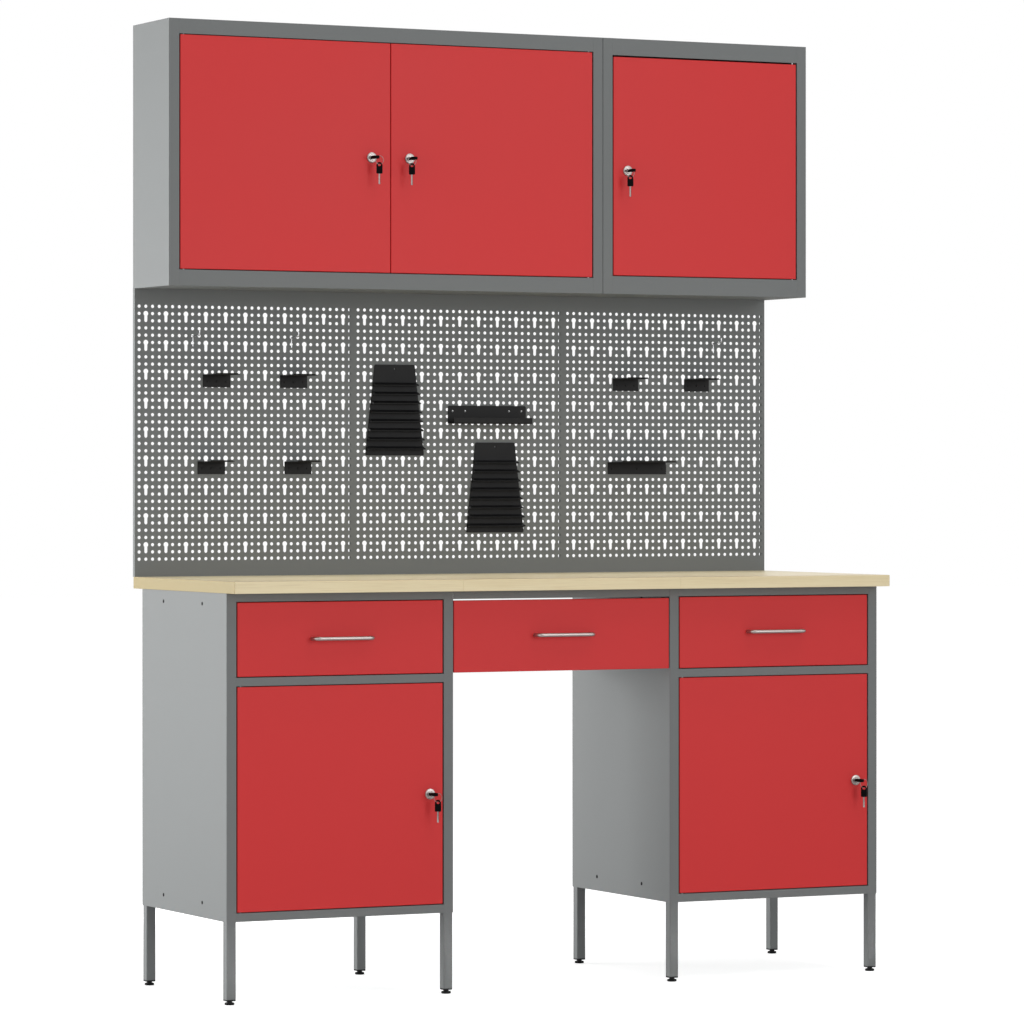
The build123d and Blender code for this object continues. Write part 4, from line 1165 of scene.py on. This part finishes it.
def bracket(width, holes):
    strip = folded_strip("bracket", width, (0, -BRACKET_HIGH), (0, BRACKET_HIGH), (-SHELF, 0))
    round_edges(strip, lambda middle, way: runs(way, "x") and abs(middle.y) < TOUCH
                and abs(middle.z) < TOUCH, HOLDER_BEND, 3)
    round_corners(strip, lambda spot, way: spot.y < MM - SHELF, SHELF_CORNER, 4)
    choose(strip, "EDGE", lambda middle, way: runs(way, "x") and middle.y < 0.1 * MM - SHELF)
    extrude(0, 0, BRACKET_LIP)
    put_down()
    finish_strip(strip, (0, -0.3 * SHELF, -0.3 * BRACKET_HIGH))
    for number in range(holes):
        x = (number - (holes - 1) / 2) * SHELF_PITCH
        cut(strip, drill(SHELF_HOLE, (x, -SHELF_LINE * SHELF, 0), 20, turn=0))
    soften(strip, HOLDER_ROUND, angle=50)
    reach = width / 2 - SCREW_INSET
    return joined("bracket", [strip] + screw_heads([(x, -SCREW_DROP) for x in (-reach, 0, reach)]))


small, wide = bracket(62.0 * MM, 2), bracket(144.0 * MM, 5)
brackets = on_panel(small, SMALL_AT) + on_panel(wide, WIDE_AT)
on_frame("screwdriver_brackets", brackets, BLACK_COAT, "black_paint", "tool_brackets")

# %% The small tray
TRAY_LIP, TRAY_CORNER = mm(13.0, 4.0)
TRAY_HOLE, TRAY_HOLE_DROP = mm(2.4, 12.0)
TRAY_HOLE_INSETS = mm(11.0, 41.0)
tray_low, tray_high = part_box("tool_tray")
tray_wide, tray_deep, tray_rise = tray_high - tray_low
strip = folded_strip("tray", tray_wide, (-tray_deep, TRAY_LIP), (0, -TRAY_LIP), (tray_deep, 0),
                     (0, tray_rise))
round_edges(strip, lambda middle, way: runs(way, "x") and abs(middle.z) < TOUCH, HOLDER_BEND, 3)
round_corners(strip, lambda spot, way: spot.z > tray_rise - MM, TRAY_CORNER, 3)
finish_strip(strip, (0, -tray_deep / 2, 0.3 * tray_rise))
for side in (-1, 1):
    for inset in TRAY_HOLE_INSETS:
        x = side * (tray_wide / 2 - inset)
        cut(strip, drill(TRAY_HOLE, (x, 0, tray_rise - TRAY_HOLE_DROP), 12))
soften(strip, HOLDER_ROUND, angle=50)
tray, = on_panel(strip, [((tray_low.x + tray_high.x) / 2, tray_low.z)])
tray.name = "tool_tray_sheet"
dress(paint(tray, BLACK_COAT), "frame", "black_paint", "tool_tray")
report(tray)

# %% [markdown]
# ## Spanner racks
# A rack is one plastic moulding: a back plate that widens downwards, and eight sloping ledges. The ledges
# grow wider with the plate, so each one is modelled at its own width by the same function.

# %% Racks
RACK_HIGH, RACK_TOP, RACK_BOTTOM = mm(193.0, 94.0, 138.0)
RACK_HEAD, LEDGES = 38.0 * MM, 8
LEDGE_OUT, LEDGE_RISE, LEDGE_EDGE, PLATE = mm(14.0, 7.0, 2.2, 2.0)
PLATE_CORNER, PLATE_HOLE, PLATE_HOLE_DROP = mm(3.0, 2.0, 9.0)
RACK_AT = [(-0.155, 1.288), (0.0835, 1.123)]


def rack_ledge(top, width):
    """A ledge on the plate's front that slopes down to a thin outer edge."""
    piece = block("ledge", (-width / 2, -PLATE - LEDGE_OUT, top - LEDGE_RISE), (width / 2, -PLATE, top))
    choose(piece, "VERT", lambda spot, way: spot.y < -PLATE - TOUCH and spot.z > top - TOUCH)
    bpy.ops.transform.translate(value=(0, 0, LEDGE_EDGE - LEDGE_RISE))
    return soften(piece, 0.6 * MM, angle=30)


plate = block("plate", (-RACK_BOTTOM / 2, -PLATE, -RACK_HIGH), (RACK_BOTTOM / 2, 0, 0))
choose(plate, "VERT", lambda spot, way: spot.z > -TOUCH)
bpy.ops.transform.resize(value=(RACK_TOP / RACK_BOTTOM, 1, 1), center_override=(0, 0, 0))
round_edges(plate, along("y"), PLATE_CORNER, 3)
cut(plate, drill(PLATE_HOLE, (0, 0, -PLATE_HOLE_DROP), 12))
soften(plate, 0.4 * MM, angle=50)
ledges = []
for number in range(LEDGES):
    drop = RACK_HEAD + number * (RACK_HIGH - RACK_HEAD) / LEDGES
    ledges.append(rack_ledge(-drop, RACK_TOP + (RACK_BOTTOM - RACK_TOP) * drop / RACK_HIGH))
racks = on_panel(joined("rack", [plate] + ledges), RACK_AT)
on_frame("spanner_rack_mouldings", racks, PLASTIC, "black_plastic", "spanner_racks")

# %% [markdown]
# ## Wire hooks
# Three bright wire hooks sit in holes of the wall. The wire is bent like the handles: a disc at the
# upturned tip is extruded down, spun through a quarter turn, extruded back to the wall, spun again and
# extruded down along the sheet. A short stub goes through the hole.

# %% Hooks
HOOK_WIRE, HOOK_BEND, HOOK_OUT = mm(1.25, 4.0, 38.0)
HOOK_TIP, HOOK_LEG, HOOK_ROW = mm(10.0, 22.0, 1343.5)
HOOKS_AT = [(-0.620, HOOK_ROW), (-0.395, HOOK_ROW), (0.620, HOOK_ROW)]
hook = disc("hook", HOOK_WIRE, 12, (0, -HOOK_OUT, HOOK_TIP))
extrude(0, 0, HOOK_BEND - HOOK_TIP)
bend(-90, (0, HOOK_BEND - HOOK_OUT, HOOK_BEND), (1, 0, 0), 6)
extrude(0, HOOK_OUT - 2 * HOOK_BEND - HOOK_WIRE, 0)
bend(90, (0, -HOOK_BEND - HOOK_WIRE, -HOOK_BEND), (1, 0, 0), 6)
extrude(0, 0, HOOK_BEND - HOOK_LEG)
smooth(outward(hook), 50)
stub = smooth(turned("stub", [(HOOK_WIRE, -5.0 * MM), (HOOK_WIRE, 4.0 * MM)], 12), 50)
hook = joined("wire_hook", [hook] + spread(stub, [TO_FRONT]))
on_frame("wire_hooks", on_panel(hook, HOOKS_AT), CHROME, "chrome")
